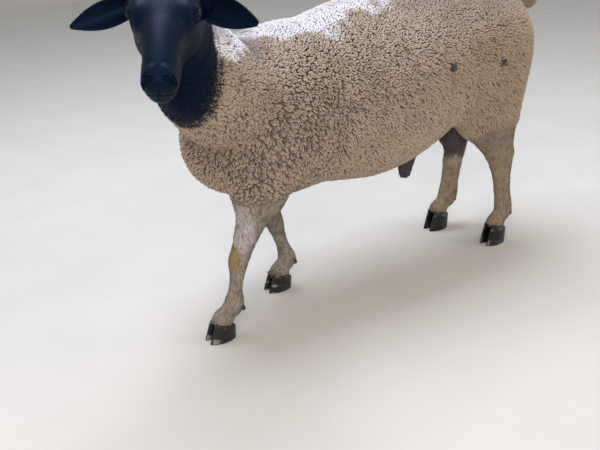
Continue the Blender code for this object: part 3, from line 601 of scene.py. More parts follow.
# %% [markdown]
# ## One skin
#
# Flattened balls are strung along the limbs and a voxel remesh fuses them to one
# rough closed mesh. The ears, which are thin leaves, are joined to it by a Boolean
# union. Then the mesh is subdivided, more on the head and most round the eyes and
# mouth, and every point is drawn onto the field. The unwrap for the coat's colours
# is made while the mesh is still coarse, because subdividing carries it along.

# %% Rough body
BODY_VOXEL = 0.0125
SMALLEST_BALL = 0.009


def unit_ball():
    """Points and faces of a ball of radius 1."""
    bm = bmesh.new()
    bmesh.ops.create_icosphere(bm, subdivisions=2, radius=1)
    points = np.array([vert.co[:] for vert in bm.verts])
    faces = np.array([[vert.index for vert in face.verts] for face in bm.faces])
    bm.free()
    return points, faces


def strung_balls(name, limbs):
    """Flattened balls strung along every limb of any width, which a remesh then fuses."""
    ball, faces = unit_ball()
    turned_balls = []
    for limb in limbs:
        if limb.rows[:, 3:5].min() < SMALLEST_BALL:
            continue
        for start, end in zip(limb.rows[:-1], limb.rows[1:]):
            axis = end[:3] - start[:3]
            side = Vector(limb.side_of(axis))
            forward = Vector(axis) - side * side.dot(Vector(axis))
            forward.normalize()
            turn = Matrix((side, forward, side.cross(forward))).transposed().to_4x4()
            smallest = min(start[3:5].min(), end[3:5].min())
            count = max(1, math.ceil(np.linalg.norm(axis) / (0.5 * smallest)))
            for t in np.arange(count + 1) / count:
                x, y, z, across, deep = start + t * (end - start)
                sized = ball * (across, deep, deep) @ np.array(turn.to_3x3()).T
                turned_balls.append(sized + (x, y, z))
    every = np.arange(len(turned_balls))[:, None, None] * len(ball) + faces
    mesh = bpy.data.meshes.new(name)
    mesh.from_pydata(np.concatenate(turned_balls), [], every.reshape(-1, 3).tolist())
    return mesh


def apply_modifiers(piece):
    graph = bpy.context.evaluated_depsgraph_get()
    mesh = bpy.data.meshes.new_from_object(piece.evaluated_get(graph))
    piece.modifiers.clear()
    old = piece.data
    piece.data = mesh
    bpy.data.meshes.remove(old)


def read(items, name, wide, kind=np.float32):
    """A property of every vertex, edge or corner, a row for each."""
    flat = np.empty(len(items) * wide, kind)
    items.foreach_get(name, flat)
    return flat.reshape(-1, wide)


def positions(mesh):
    return read(mesh.vertices, "co", 3).astype(float)


def set_positions(mesh, points):
    mesh.vertices.foreach_set("co", points.astype(np.float32).ravel())
    mesh.update()


def gradient(points, shape, value, step=0.0015):
    """The direction in which the field grows, and how fast."""
    out = np.empty_like(points)
    for axis in range(3):
        shift = np.zeros(3)
        shift[axis] = step
        out[:, axis] = (shape(points + shift) - value) / step
    slope = np.maximum(np.linalg.norm(out, axis=1), 1e-6)
    return out / slope[:, None], slope


def relaxed(points, edges, share, free):
    """Each free point moves part of the way to the middle of its neighbours."""
    a, b = edges
    count = np.bincount(a, minlength=len(points)) + np.bincount(b, minlength=len(points))
    total = np.zeros_like(points)
    for axis in range(3):
        total[:, axis] += np.bincount(a, points[b, axis], len(points))
        total[:, axis] += np.bincount(b, points[a, axis], len(points))
    return points + (share * free)[:, None] * (total / np.maximum(count, 1)[:, None] - points)


def draw_to(mesh, shape, rounds, relax, leave=9.0):
    """Moves the points onto the field's surface, evenly spread, but leaves those further off than leave."""
    points = positions(mesh)
    edges = read(mesh.edges, "vertices", 2, np.int32).T
    free = (shape(points) < leave).astype(float)
    for _ in range(rounds):
        for _ in range(relax):
            points = relaxed(points, edges, 0.5, free)
        value = shape(points)
        direction, slope = gradient(points, shape, value)
        step = value / np.clip(slope, 0.4, 1.5)
        points -= (free * np.clip(step, -0.02, 0.02))[:, None] * direction
    set_positions(mesh, points)


skin = new_piece("skin", strung_balls("skin", limbs))
fuse = skin.modifiers.new("fuse", "REMESH")
fuse.mode = "VOXEL"
fuse.voxel_size = BODY_VOXEL
apply_modifiers(skin)
draw_to(skin.data, skin_field, 2, 1)
print("rough skin:", len(skin.data.polygons), "faces")

# %% [markdown]
# ## The ears
#
# Each ear is a leaf about 12 cm long: narrow at its root, where its edges curl
# forward into a cup, broad in the middle, and blunt at its tip. A grid is bent to
# that shape, then given a wall thickness.

# %% Ears


def ear_width(along):
    """The half-width of the leaf: a narrow root, broad middle and blunt tip."""
    return 0.5 * EAR_WIDTH * (0.62 + 0.38 * math.sin(math.pi * min(1, along * 1.1))) * (1 - along**4.5) ** 0.6


def ear_mesh(sign):
    """A closed leaf, its two faces alike, from two bent grids joined at their rims."""
    axis, broad, front = ear_axes(sign)
    root = head_point(EAR_ROOT, sign)
    bm = bmesh.new()
    bmesh.ops.create_grid(bm, x_segments=18, y_segments=10, size=1)
    for vert in bm.verts:
        along, across = (vert.co.x + 1) / 2, vert.co.y
        half = max(ear_width(along), 0.003)
        cup = (0.95 - 0.75 * along) * half
        vert.co = root + along * EAR_LENGTH[sign] * axis + across * half * (1 - 0.25 * (1 - along)) * broad
        vert.co += (cup * (across**2 - 0.55) + 0.010 * along**2) * front
    bmesh.ops.recalc_face_normals(bm, faces=bm.faces)
    bmesh.ops.solidify(bm, geom=bm.faces[:], thickness=EAR_THICKNESS * 0.75)
    bmesh.ops.recalc_face_normals(bm, faces=bm.faces)
    mesh = bpy.data.meshes.new("ear")
    bm.to_mesh(mesh)
    bm.free()
    return mesh


def in_order(mesh):
    """The same mesh with its faces in a fixed order, because a Boolean leaves them in any order."""
    faces = []
    for face in mesh.polygons:
        corners = list(face.vertices)
        first = corners.index(min(corners))
        faces.append(corners[first:] + corners[:first])
    ordered = bpy.data.meshes.new(mesh.name)
    ordered.from_pydata([vert.co[:] for vert in mesh.vertices], [], sorted(faces))
    return ordered


for sign in (1, -1):
    ear = new_piece("ear", ear_mesh(sign))
    union = skin.modifiers.new("ear", "BOOLEAN")
    union.operation = "UNION"
    union.object = ear
    apply_modifiers(skin)
    bpy.data.objects.remove(ear)
skin.data = in_order(skin.data)
print("with ears:", len(skin.data.polygons), "faces")

# %% Unwrap while the mesh is coarse
skin.data.uv_layers.new(name="OFBake")
bpy.context.view_layer.objects.active = skin
skin.select_set(True)
bpy.ops.object.mode_set(mode="EDIT")
bpy.ops.mesh.select_all(action="SELECT")
bpy.ops.uv.smart_project(angle_limit=math.radians(66), island_margin=0.004)
bpy.ops.object.mode_set(mode="OBJECT")
print("unwrapped", len(skin.data.uv_layers[0].data), "corners")

# %% Subdivide, most on the face
EYES = {}
for name, sign in SIDES.items():
    start = head_point(EYE_PLACE, sign)
    gaze = head_direction(EYE_GAZE, sign)
    EYES[name] = start + (reach(skull, start, gaze) + EYE_PROUD - EYE_RADIUS) * gaze
MUZZLE = head_point((0.232, 0, -0.026))


def subdivided_near(mesh, places):
    """Splits the faces that lie within a radius of any of the places."""
    bm = bmesh.new()
    bm.from_mesh(mesh)
    chosen = {}  # By number, so that every run splits them in the same order
    for face in bm.faces:
        middle = face.calc_center_median()
        if any((middle - place).length < radius for place, radius in places):
            chosen.update((edge.index, edge) for edge in face.edges)
    bmesh.ops.subdivide_edges(bm, edges=list(chosen.values()), cuts=1, use_grid_fill=True)
    bm.to_mesh(mesh)
    bm.free()


smooth = skin.modifiers.new("smooth", "SUBSURF")
smooth.levels = smooth.render_levels = 1
apply_modifiers(skin)
subdivided_near(skin.data, [(head_point((0.09, 0, -0.01)), 0.105), (head_point((0.20, 0, -0.03)), 0.075)])
FACE_PARTS = [(centre, 0.024) for centre in EYES.values()] + [(MUZZLE, 0.045)]
subdivided_near(skin.data, FACE_PARTS)
EAR_CLEAR = 0.003
draw_to(skin.data, skin_field, 2, 1, EAR_CLEAR)
draw_to(skin.data, skin_field, 2, 0, EAR_CLEAR)
print("skin:", len(skin.data.polygons), "faces")

# %% [markdown]
# ## Lids
#
# The lids wrap the eyeball and part along an almond-shaped opening. In the plane
# across the gaze, each point of the skin near the eye gets a height: that of a ball
# a little larger than the eye close to the opening, and its own further out. Inside
# the opening the skin turns in under the lids. Shallow creases follow both edges.

# %% Lids round the eyes
LID_THICKNESS = 0.0014
SLIT_HALF, UPPER_HALF, LOWER_HALF = 0.0114, 0.0060, 0.0050
LID_REACH, LID_ROOM, LID_BEHIND, LID_HOLD = 0.026, 0.012, -0.004, (0.0030, 0.0105)
CREASE_AWAY, CREASE_WIDTH, UPPER_CREASE, LOWER_CREASE = 0.0042, 0.0011, 0.0010, 0.0006
MARGIN_AWAY, MARGIN_WIDTH, MARGIN_RISE = 0.0008, 0.0007, 0.0004
TUCK_DEPTH, TUCK_WIDTH = 0.0060, 0.0016


def eye_axes(sign):
    """Along the slit to the muzzle, up, and along the gaze."""
    gaze = head_direction(EYE_GAZE, sign)
    slit = head_direction(EYE_SLIT, sign)
    slit = (slit - gaze * slit.dot(gaze)).normalized()
    return slit, slit.cross(gaze) * sign, gaze


def almond(s, u):
    """Distance outside the almond-shaped opening, in metres."""
    half = np.where(u > 0, UPPER_HALF, LOWER_HALF)
    inside = np.abs(u) / half + (s / SLIT_HALF) ** 2
    slope = np.sqrt((2 * s / SLIT_HALF**2) ** 2 + 1 / half**2)
    return (inside - 1) / slope


def ridge(away, middle, wide):
    """A rounded ridge, 1 at the middle, for creases and lid margins."""
    return np.exp(-(((away - middle) / wide) ** 2))


def shape_lids(points):
    """Moves the skin round each eye along the gaze, to the shape of the lids."""
    for centre, sign in zip(EYES.values(), SIDES.values()):
        axes = np.array([axis[:] for axis in eye_axes(sign)])
        local = (points - np.array(centre)) @ axes.T
        s, u, g = local.T
        r = np.hypot(s, u)
        near = (r < LID_REACH) & (g > LID_BEHIND)
        away = almond(s, u)
        ball = EYE_RADIUS + LID_THICKNESS
        lid = np.sqrt(ball**2 - np.minimum(r, 0.90 * ball) ** 2)
        crease = np.where(u > 0, UPPER_CREASE, LOWER_CREASE) * ridge(away, CREASE_AWAY, CREASE_WIDTH)
        margin = MARGIN_RISE * ridge(away, MARGIN_AWAY, MARGIN_WIDTH)
        hold = 1 - smooth_step(*LID_HOLD, away)
        tucked = TUCK_DEPTH * smooth_step(0.0, TUCK_WIDTH, -away)
        height = g + hold * (lid - g) - crease * hold + margin - tucked
        local[:, 2] = np.where(near & (away < LID_ROOM), height, g)
        points[:] = np.where(near[:, None], local @ axes + np.array(centre), points)
    return points


set_positions(skin.data, shape_lids(positions(skin.data)))
skin.data.shade_smooth()

# %% [markdown]
# ## Eyes
#
# A ram's eye is a ball about 27 mm across with a clear dome in front, an amber
# iris and a pupil that lies level, like a slot. The ball is drawn out a little at
# the dome. A map of the gaze, two numbers that say how far a point lies along and
# above the slit, places the iris and pupil in the material.

# %% Eyeballs
CORNEA_HALF, CORNEA_BULGE = math.radians(38), 0.0011


def eyeball_mesh(name, centre, sign):
    slit, up, gaze = eye_axes(sign)
    bm = bmesh.new()
    bmesh.ops.create_uvsphere(bm, u_segments=48, v_segments=32, radius=EYE_RADIUS)
    turn = Matrix((slit, up, gaze)).transposed().to_4x4()
    if turn.determinant() < 0:
        turn = Matrix((-slit, up, gaze)).transposed().to_4x4()
    view = bm.loops.layers.uv.new("gaze")
    for face in bm.faces:
        for loop in face.loops:
            loop[view].uv = (0.5 + loop.vert.co.x / EYE_RADIUS / 2, 0.5 + loop.vert.co.y / EYE_RADIUS / 2)
    for vert in bm.verts:
        tilt = math.acos(max(-1, min(1, vert.co.z / EYE_RADIUS)))
        if tilt < CORNEA_HALF:
            vert.co *= 1 + CORNEA_BULGE / EYE_RADIUS * (math.cos(math.pi * tilt / CORNEA_HALF) + 1) / 2
    bmesh.ops.transform(bm, matrix=Matrix.Translation(centre) @ turn, verts=bm.verts)
    mesh = bpy.data.meshes.new(name)
    bm.to_mesh(mesh)
    bm.free()
    mesh.shade_smooth()
    return mesh


eyes = {name: new_piece(f"eyeball_{name}", eyeball_mesh(name, EYES[name], sign)) for name, sign in SIDES.items()}
print("eyes:", len(eyes))

# %% [markdown]
# ## Hooves
#
# Each foot has two claws of black horn, flat where they face each other, with a
# blunt toe, and two small dewclaws behind. A claw is a plain ringed tube, extruded
# ring by ring, whose points are then moved to the outline of the sole at the bottom
# and to the sloping hairline at the top. The sole stays flat on the floor.


# %% A ringed tube, for hooves and for locks
def ringed_tube(sides, levels, tip=None):
    """Points and faces of a closed tube with a ring at each (height, radius), and a point for a tip."""
    bm = bmesh.new()
    bmesh.ops.create_circle(bm, cap_ends=True, segments=sides, radius=levels[0][1])
    bmesh.ops.translate(bm, verts=bm.verts, vec=(0, 0, levels[0][0]))
    face = bm.faces[:][0]
    for (_, before), (height, radius) in zip(levels, levels[1:] + ([(tip, levels[-1][1])] if tip else [])):
        out = bmesh.ops.extrude_face_region(bm, geom=[face])["geom"]
        ring = [item for item in out if isinstance(item, bmesh.types.BMVert)]
        face = [item for item in out if isinstance(item, bmesh.types.BMFace)][0]
        for vert in ring:
            vert.co = (vert.co.x * radius / before, vert.co.y * radius / before, height)
    if tip:
        bmesh.ops.pointmerge(bm, verts=ring, merge_co=(0, 0, tip))
    bmesh.ops.recalc_face_normals(bm, faces=bm.faces)
    bm.verts.index_update()
    points = np.array([vert.co[:] for vert in bm.verts])
    faces = [[vert.index for vert in face.verts] for face in bm.faces]
    bm.free()
    return points, faces


def mesh_of(name, points, faces):
    mesh = bpy.data.meshes.new(name)
    mesh.from_pydata([tuple(point) for point in points], [], faces)
    mesh.shade_smooth()
    return mesh


# %% Claws
CORONET_DROP, CORONET_SLOPE, CORONET_LAP = 0.006, 0.30, 0.001
SOLE_LENGTH, CLAW_WIDTH, CLAW_SPREAD, TOE_REACH = 0.062, 0.0215, 0.0118, 0.010
CLAW_TOP_LENGTH, CLAW_TOP_WIDTH, OUTER_SHARE, HEEL_TAPER = 0.047, 0.0208, 0.62, 0.40
CLAW_LEVELS = [(0, 0.965), (0.03, 0.995), (0.2, 1.0), (0.4, 1.0), (0.6, 1.0), (0.8, 1.0), (0.93, 1.0), (1.0, 0.95),
               (1.03, 0.70)]
CLAW_SIDES = 36


def claw_mesh(name, coronet, side, sign):
    unit, faces = ringed_tube(CLAW_SIDES, CLAW_LEVELS)
    points = []
    for px, py, t in unit:
        turn, size = math.atan2(py, px), math.hypot(px, py)
        length = SOLE_LENGTH + t * (CLAW_TOP_LENGTH - SOLE_LENGTH)
        width = CLAW_WIDTH + t * (CLAW_TOP_WIDTH - CLAW_WIDTH)
        dx = size * 0.5 * length * math.cos(turn)
        dy = size * width * math.sin(turn) * (OUTER_SHARE if math.sin(turn) > 0 else 1 - OUTER_SHARE)
        dy *= 1 - HEEL_TAPER * max(0, -math.cos(turn)) ** 2
        dx -= TOE_REACH * (1 - t)
        top = coronet[2] - CORONET_DROP + CORONET_LAP - CORONET_SLOPE * dx
        points.append((coronet[0] + dx, coronet[1] * side + sign * (CLAW_SPREAD + dy), top * t))
    return mesh_of(name, points, faces if sign * side > 0 else [face[::-1] for face in faces])


DEWCLAW_LENGTH, DEWCLAW_SIDES, DEWCLAW_OFF = 0.014, 20, (0.0135, 0.0115, -0.010)
DEWCLAW_LEVELS = [(0, 0.0072), (0.35, 0.0070), (0.7, 0.0058), (0.92, 0.0040), (1.0, 0.0022)]


def dewclaw_mesh(name, fetlock, side, sign):
    unit, faces = ringed_tube(DEWCLAW_SIDES, DEWCLAW_LEVELS)
    back, aside, up = DEWCLAW_OFF
    place = Vector((fetlock[0] + back, fetlock[1] * side + sign * aside, fetlock[2] + up))
    axis = Vector((0.62, sign * 0.10, -0.78)).normalized()
    turn = axis.to_track_quat("Z", "Y").to_matrix()
    points = [place + turn @ Vector((x, y, (z - 0.5) * DEWCLAW_LENGTH)) for x, y, z in unit]
    return mesh_of(name, points, faces)


def outwards(mesh):
    bm = bmesh.new()
    bm.from_mesh(mesh)
    bmesh.ops.recalc_face_normals(bm, faces=bm.faces)
    bm.to_mesh(mesh)
    bm.free()


horn_pieces = {}
for place, legs in (("fore", FORE), ("hind", HIND)):
    for name, side in SIDES.items():
        for which, sign in (("outer", -side), ("inner", side)):
            end = f"{place}_{name}_{which}"
            horn_pieces["claw_" + end] = claw_mesh("hoof_" + end, legs[name]["coronet"], side, sign)
            horn_pieces["dewclaw_" + end] = dewclaw_mesh("dew_" + end, legs[name]["fetlock"], side, sign)
for replaced, mesh in horn_pieces.items():
    outwards(mesh)
    horn_pieces[replaced] = new_piece(mesh.name, mesh)
print("claws and dewclaws:", len(horn_pieces))

# %% The skin ends where the hooves begin
FOOT_RADIUS, FOOT_HEIGHT = 0.06, 0.07


def hoof_top(points, leg, side):
    """For each point, how far it is from the middle of the foot, and how high the hairline is there."""
    x, y, z = leg["coronet"]
    away = np.hypot(points[:, 0] - x, points[:, 1] - y * side)
    return away, z - CORONET_DROP - CORONET_SLOPE * (points[:, 0] - x)


points = positions(skin.data)
for leg, side in each_leg(FORE, HIND):
    away, top = hoof_top(points, leg, side)
    near = (away < FOOT_RADIUS) & (points[:, 2] < FOOT_HEIGHT)
    points[:, 2] = np.where(near, np.maximum(points[:, 2], top - CORONET_LAP), points[:, 2])
set_positions(skin.data, points)

# %% [markdown]
# ## Markings
#
# Skin and coat share one set of markings, worked out for any place on the body: how
# black, how white, how dark, how stained and how pale it is there. The white of the
# top is partly whiter wool and partly painted light from overhead; the dark is partly
# dark hair and skin and partly painted shade on the inside of the far hind leg. They
# are stored on the points of the skin. Each lock takes those of its root, which gives
# a ragged edge between two colours, as on the real coat, and not a painted line.


# %% Markings of a place
def wobble(points, size, seed):
    """Smooth noise from about -1 to 1, with lumps of this size in metres."""
    offset = Vector((seed * 7.1, seed * 3.7, seed * 5.3))
    return np.array([noise.noise(Vector(p) / size + offset) for p in points]) * 1.6


def spot(points, middle, radius):
    """1 at the middle of a rounded patch, 0 outside it."""
    off = (points - np.array(middle)) / np.array(radius)
    return 1 - smooth_step(0.35, 1.0, np.linalg.norm(off, axis=1))


HEAD_BACK = HEAD.inverted()
FACE_FROM, FACE_ABOVE = (-0.045, 0.005), (-0.115, -0.090)


def on_face(points):
    """1 on the head, 0 on the neck and body."""
    local = points @ np.array(HEAD_BACK.to_3x3()).T + np.array(HEAD_BACK.translation)
    return smooth_step(*FACE_FROM, local[:, 0]) * smooth_step(*FACE_ABOVE, local[:, 2])


# Patches of colour: middle and half-sizes, in metres
FOREARM = (-0.372, -0.100, 0.250), (0.036, 0.055, 0.085)
SHANK = (0.385, 0.080, 0.192), (0.045, 0.045, 0.032)
DIRT = (-0.315, -0.105, 0.620), (0.085, 0.060, 0.026)
# Partly dark hair and partly painted shade: the inside of the far hind leg lies in shadow.
DARK_AND_SHADED_LEG = (0.372, 0.078, 0.272), (0.090, 0.080, 0.100)
DARK_BAG = (0.300, 0.0, 0.285), (0.070, 0.060, 0.075)
DARK_TASSEL = (0.150, 0.0, 0.240), (0.050, 0.040, 0.056)
WARM_CHEST = (-0.405, -0.125, 0.440), (0.060, 0.060, 0.060)
WARM_SHOULDER = (-0.18, -0.14, 0.56), (0.07, 0.08, 0.08)
CALLUS_OFF, CALLUS_SIZE = (-0.018, -0.012, 0.018), (0.020, 0.030, 0.046)
CALLUS_STRENGTH = {"left": 1.0, "right": 0.3}
# Small dark clots of dung and dirt in the wool of the left flank: middle and half-size
CLOTS = [((0.134, -0.175, 0.527), 0.014), ((0.292, -0.167, 0.510), 0.013), ((-0.200, -0.150, 0.560), 0.008),
         ((0.040, -0.180, 0.470), 0.007), ((0.020, -0.150, 0.590), 0.007), ((0.190, -0.170, 0.450), 0.007)]
CLOT_DEPTH, CLOT_BLACK = 0.03, 0.86
# How low the white of the top reaches, whiter wool with painted light from overhead: place along the body, and height
WHITE_AND_TOPLIGHT_EDGE = [(-0.40, 0.634), (-0.30, 0.618), (-0.12, 0.610), (-0.05, 0.636), (0.06, 0.655), (0.12, 0.72)]
# How strong the fainter colours are
PALE_LEG, SOILED_TOP, DIRT_STRENGTH = 0.36, 0.40, 0.62
WARM_CHEST_STRENGTH, WARM_SHOULDER_STRENGTH, WARM_LEGS, WARM_REAR = 0.45, 0.30, 0.42, 0.30
# Painted shade under the wool: the skin there is darkened, and less so where the wool is white.
SKIN_SHADE, WHITE_LIFT = 0.8, 0.7  # How dark the skin under wool is, and how much less so where it is white


def most(*shares):
    return np.maximum.reduce(shares)


def white_and_toplight_of(points, lumps, specks):
    """The white of the top, partly whiter wool and partly painted light from overhead, and fainter on a forearm and a
    shank.
    """
    limit = np.interp(points[:, 0], *np.transpose(WHITE_AND_TOPLIGHT_EDGE))
    top = smooth_step(-0.009, 0.009, points[:, 2] - limit + 0.010 * lumps + 0.006 * specks)
    legs = most(spot(points, *FOREARM), spot(points, *SHANK)) + 0.30 * specks + 0.15 * lumps
    return top, PALE_LEG * smooth_step(0.0, 1.0, legs)


def dark_and_shade_of(points, lumps, specks):
    """The dark patch between the hind legs, partly dark hair and partly painted shade on the far leg, the soiled rear
    of the top and the dirt of the shoulder.
    """
    x, _, z = points.T
    patch = most(spot(points, *DARK_AND_SHADED_LEG), spot(points, *DARK_BAG), spot(points, *DARK_TASSEL))
    patch = smooth_step(0.25, 0.65, patch + 0.20 * lumps + 0.22 * specks)
    soiled = SOILED_TOP * smooth_step(0.56, 0.66, z) * smooth_step(0.0, 0.16, x + 0.04 * lumps)
    return most(patch, soiled, DIRT_STRENGTH * smooth_step(0.05, 1.0, spot(points, *DIRT) + 0.45 * specks))


def stain_of(points, lumps, specks):
    """The calluses of the knees, and a warm tinge on chest, shoulder, hind legs and rear."""
    x, _, z = points.T
    callus = np.zeros(len(points))
    for name, side in SIDES.items():
        kx, ky, kz = FORE[name]["knee"]
        dx, dy, dz = CALLUS_OFF
        knee = spot(points, (kx + dx, ky * side + dy, kz + dz), CALLUS_SIZE)
        callus = most(callus, CALLUS_STRENGTH[name] * knee)
    return most(
        smooth_step(0.25, 0.75, callus + 0.15 * specks),
        WARM_CHEST_STRENGTH * spot(points, *WARM_CHEST),
        WARM_SHOULDER_STRENGTH * spot(points, *WARM_SHOULDER),
        WARM_LEGS * smooth_step(0.1, 0.3, x) * (1 - smooth_step(0.25, 0.32, z)),
        WARM_REAR * smooth_step(0.05, 0.30, x + 0.05 * lumps),
    )


def markings(points):
    """How black, white, dark, stained and pale each place is, from 0 to 1; the white holds painted light on the top,
    the dark painted shade on the far hind leg.
    """
    lumps, specks = wobble(points, 0.030, 1), wobble(points, 0.011, 2)
    black = 1 - smooth_step(-0.004, 0.004, behind_black(points) + 0.004 * lumps + 0.004 * specks)
    top, legs = white_and_toplight_of(points, lumps, specks)
    white = most(top * (1 - black), legs)
    for middle, size in CLOTS:
        clot = spot(points, middle, (size, CLOT_DEPTH, size)) + 0.2 * specks
        black = most(black, CLOT_BLACK * smooth_step(0.1, 0.5, clot))
    pale = (1 - smooth_step(0.15, 0.75, coat(points))) * (1 - black)
    dark, stain = dark_and_shade_of(points, lumps, specks), stain_of(points, lumps, specks)
    return dict(black=black, white=white, dark=dark, stain=stain, pale=pale)


def store(mesh, name, values):
    layer = mesh.attributes.get(name) or mesh.attributes.new(name, "FLOAT", "POINT")
    layer.data.foreach_set("value", np.asarray(values, np.float32))


skin_points, skin_normals = positions(skin.data), read(skin.data.vertices, "normal", 3).astype(float)
skin_marks = markings(skin_points)
for name, values in skin_marks.items():
    store(skin.data, name, values)
store(skin.data, "face", on_face(skin_points))
# Painted shade: the skin under the wool is darker, less so where the wool is white.
store(skin.data, "shade", SKIN_SHADE * coat(skin_points) * (1 - WHITE_LIFT * skin_marks["white"]))
store(skin.data, "tone", 0.5 + 0.5 * wobble(skin_points, 0.02, 3))
print("stored on the skin:", ", ".join(skin_marks))

# %% [markdown]
# ## Growing a coat
#
# Fleece and hair are solid locks. One lock is modelled, as a short tube that ends
# in a point, and is copied to thousands of roots, each copy with its own length,
# width, lean and bend. Hair curves would be lighter, but don't survive an export.
# The roots are set at random over the skin, no two closer than a spacing, as the
# follicles of a real skin are. A tuft's patch on the colour map lies at its root.

# %% Roots on the skin
skin.data.calc_loop_triangles()
corner_vertices = read(skin.data.loop_triangles, "vertices", 3, np.int32)
corner_loops = read(skin.data.loop_triangles, "loops", 3, np.int32)
corner_uvs = read(skin.data.uv_layers["OFBake"].data, "uv", 2)[corner_loops]
corner_points = skin_points[corner_vertices]
sides = corner_points[:, 1:] - corner_points[:, :1]
triangle_areas = np.linalg.norm(np.cross(sides[:, 0], sides[:, 1]), axis=1) / 2
print("skin area", round(triangle_areas.sum(), 3), "square metres in", len(triangle_areas), "triangles")


def tree_of(places):
    """A tree that finds the places near a point."""
    tree = KDTree(len(places))
    for i, place in enumerate(places):
        tree.insert(place, i)
    tree.balance()
    return tree


def roots(spacing, wanted, draw, tries=6):
    """Places, normals and map places set at random over the skin, no two closer than the spacing."""
    middles = corner_points.mean(1)
    weight = triangle_areas * wanted(middles, skin_normals[corner_vertices].mean(1))
    count = int(tries * weight.sum() / spacing**2)
    chosen = draw.choice(len(weight), count, p=weight / weight.sum())
    u, v = draw.random((2, count))
    u, v = np.where(u + v > 1, 1 - u, u), np.where(u + v > 1, 1 - v, v)
    share = np.stack([1 - u - v, u, v], 1)[:, :, None]
    places = (corner_points[chosen] * share).sum(1)
    normals = (skin_normals[corner_vertices[chosen]] * share).sum(1)
    normals /= np.linalg.norm(normals, axis=1)[:, None]
    uvs = (corner_uvs[chosen] * share).sum(1)
    tree = tree_of(places)
    dropped, kept = np.zeros(count, bool), []
    for i, place in enumerate(places):
        if not dropped[i]:
            kept.append(i)
            for _, j, _ in tree.find_range(place, spacing):
                dropped[j] = True
    return places[kept], normals[kept], uvs[kept]


# %% Directions in which the coat lies
DOWN_BODY = np.array((0.22, 0, -1.0))
DOWN_SHOULDER, SHOULDER_MIDDLE = np.array((-0.55, 0, -1.0)), -0.19
DOWN_NECK = np.array((0.62, 0.36, -0.70))
UP_FACE = -np.array(head_direction((1, 0, 0.15)))


def turned(vectors, axes, angles):
    """Vectors turned about axes square to them, by angles in radians."""
    return vectors * np.cos(angles)[:, None] + np.cross(axes, vectors) * np.sin(angles)[:, None]


def lie_of(places, normals, scatter):
    """The direction along the skin in which hair or wool lies, with some scatter."""
    neck = (1 - smooth_step(0.0, 0.10, behind_black(places)))[:, None]
    face = on_face(places)[:, None]
    front = smooth_step(0.09, 0.02, np.abs(places[:, 0] - SHOULDER_MIDDLE))[:, None]
    lie = DOWN_BODY * (1 - front) + DOWN_SHOULDER * front
    lie = lie * (1 - neck) + DOWN_NECK * neck
    lie = lie * (1 - face) + UP_FACE * face
    lie -= normals * (lie * normals).sum(1)[:, None]
    lie /= np.maximum(np.linalg.norm(lie, axis=1), 1e-6)[:, None]
    return turned(lie, normals, scatter)


# %% Copies of one lock
PATCH = 0.003


def grow(name, template, places, normals, lies, uvs, shape, marks, stray=None):
    """One mesh of many locks. shape holds each lock's length, width, flatness, start and end angles and bend.

    A lock is bent to an arc, which leaves the skin at the start angle from its normal and
    ends at the end angle. stray, if given, pulls the tips of all towards somewhere else.
    """
    unit, faces = template
    length, width, flat, start, end, bend = shape
    across = np.cross(normals, lies)
    t = np.clip(unit[:, 2], 0, None)
    sink = np.minimum(unit[:, 2], 0)
    span = (end - start)[:, None]
    angle = start[:, None] + span * t
    safe = np.where(np.abs(span) < 1e-3, 1e-3, span)
    rise = length[:, None] * ((np.sin(start[:, None] + safe * t) - np.sin(start)[:, None]) / safe + sink)
    lead = length[:, None] * (np.cos(start)[:, None] - np.cos(start[:, None] + safe * t)) / safe
    sway = (bend * length)[:, None] * t**2
    wide = width[:, None] * unit[:, 0]
    thick = (width * flat)[:, None] * unit[:, 1]
    rise = rise - thick * np.sin(angle)
    lead = lead + thick * np.cos(angle)
    points = places[:, None] + rise[..., None] * normals[:, None] + lead[..., None] * lies[:, None]
    points += (wide + sway)[..., None] * across[:, None]
    if stray is not None:
        points += (t**1.5)[None, :, None] * stray[:, None]
    count, size = len(places), len(unit)
    loops = np.concatenate([np.array(face) for face in faces])
    sizes = np.array([len(face) for face in faces])
    offsets = np.arange(count)[:, None] * size
    mesh = bpy.data.meshes.new(name)
    mesh.vertices.add(count * size)
    mesh.vertices.foreach_set("co", points.astype(np.float32).ravel())
    mesh.loops.add(count * len(loops))
    mesh.loops.foreach_set("vertex_index", (offsets + loops).astype(np.int32).ravel())
    mesh.polygons.add(count * len(faces))
    starts = np.concatenate([[0], np.cumsum(sizes)[:-1]])
    starts = np.arange(count)[:, None] * len(loops) + starts
    mesh.polygons.foreach_set("loop_start", starts.astype(np.int32).ravel())
    mesh.update(calc_edges=True)
    mesh.shade_smooth()
    for mark, values in marks.items():
        store(mesh, mark, np.repeat(values, size))
    # Painted shade: each lock is darker towards its root, less so where the wool is white.
    root_shade = np.tile(np.clip(1 - unit[:, 2] * 1.4, 0, 1), count)
    store(mesh, "shade", root_shade * (1 - WHITE_LIFT * np.repeat(marks["white"], size)))
    layer = mesh.uv_layers.new(name="OFBake")
    turn = np.arctan2(unit[:, 1], unit[:, 0]) / (2 * math.pi)
    patch = np.stack([turn, np.clip(unit[:, 2], 0, 1) - 0.5], 1) * PATCH
    layer.data.foreach_set("uv", (uvs[:, None] + patch[loops]).astype(np.float32).ravel())
    piece = new_piece(name, mesh)
    triangles = count * int((sizes - 2).sum())
    print(f"{name}: {count} locks, {triangles} triangles")
    return piece


# %% [markdown]
# ## Fleece
#
# Seen close, the wool stands in staples: small blunt locks about a centimetre
# across, with dark slits between them. Each staple here is three or four crimped
# locks that lean together, so the slits open by themselves. The locks rise from the
# sunken skin to the outline of the solids, and get shorter towards the legs and the
# black neck.

# %% Staples and locks of wool
SEED = 11
STAPLE_SPACING, LOCK_SPACING = 0.0076, 0.0031
draw = np.random.default_rng(SEED)


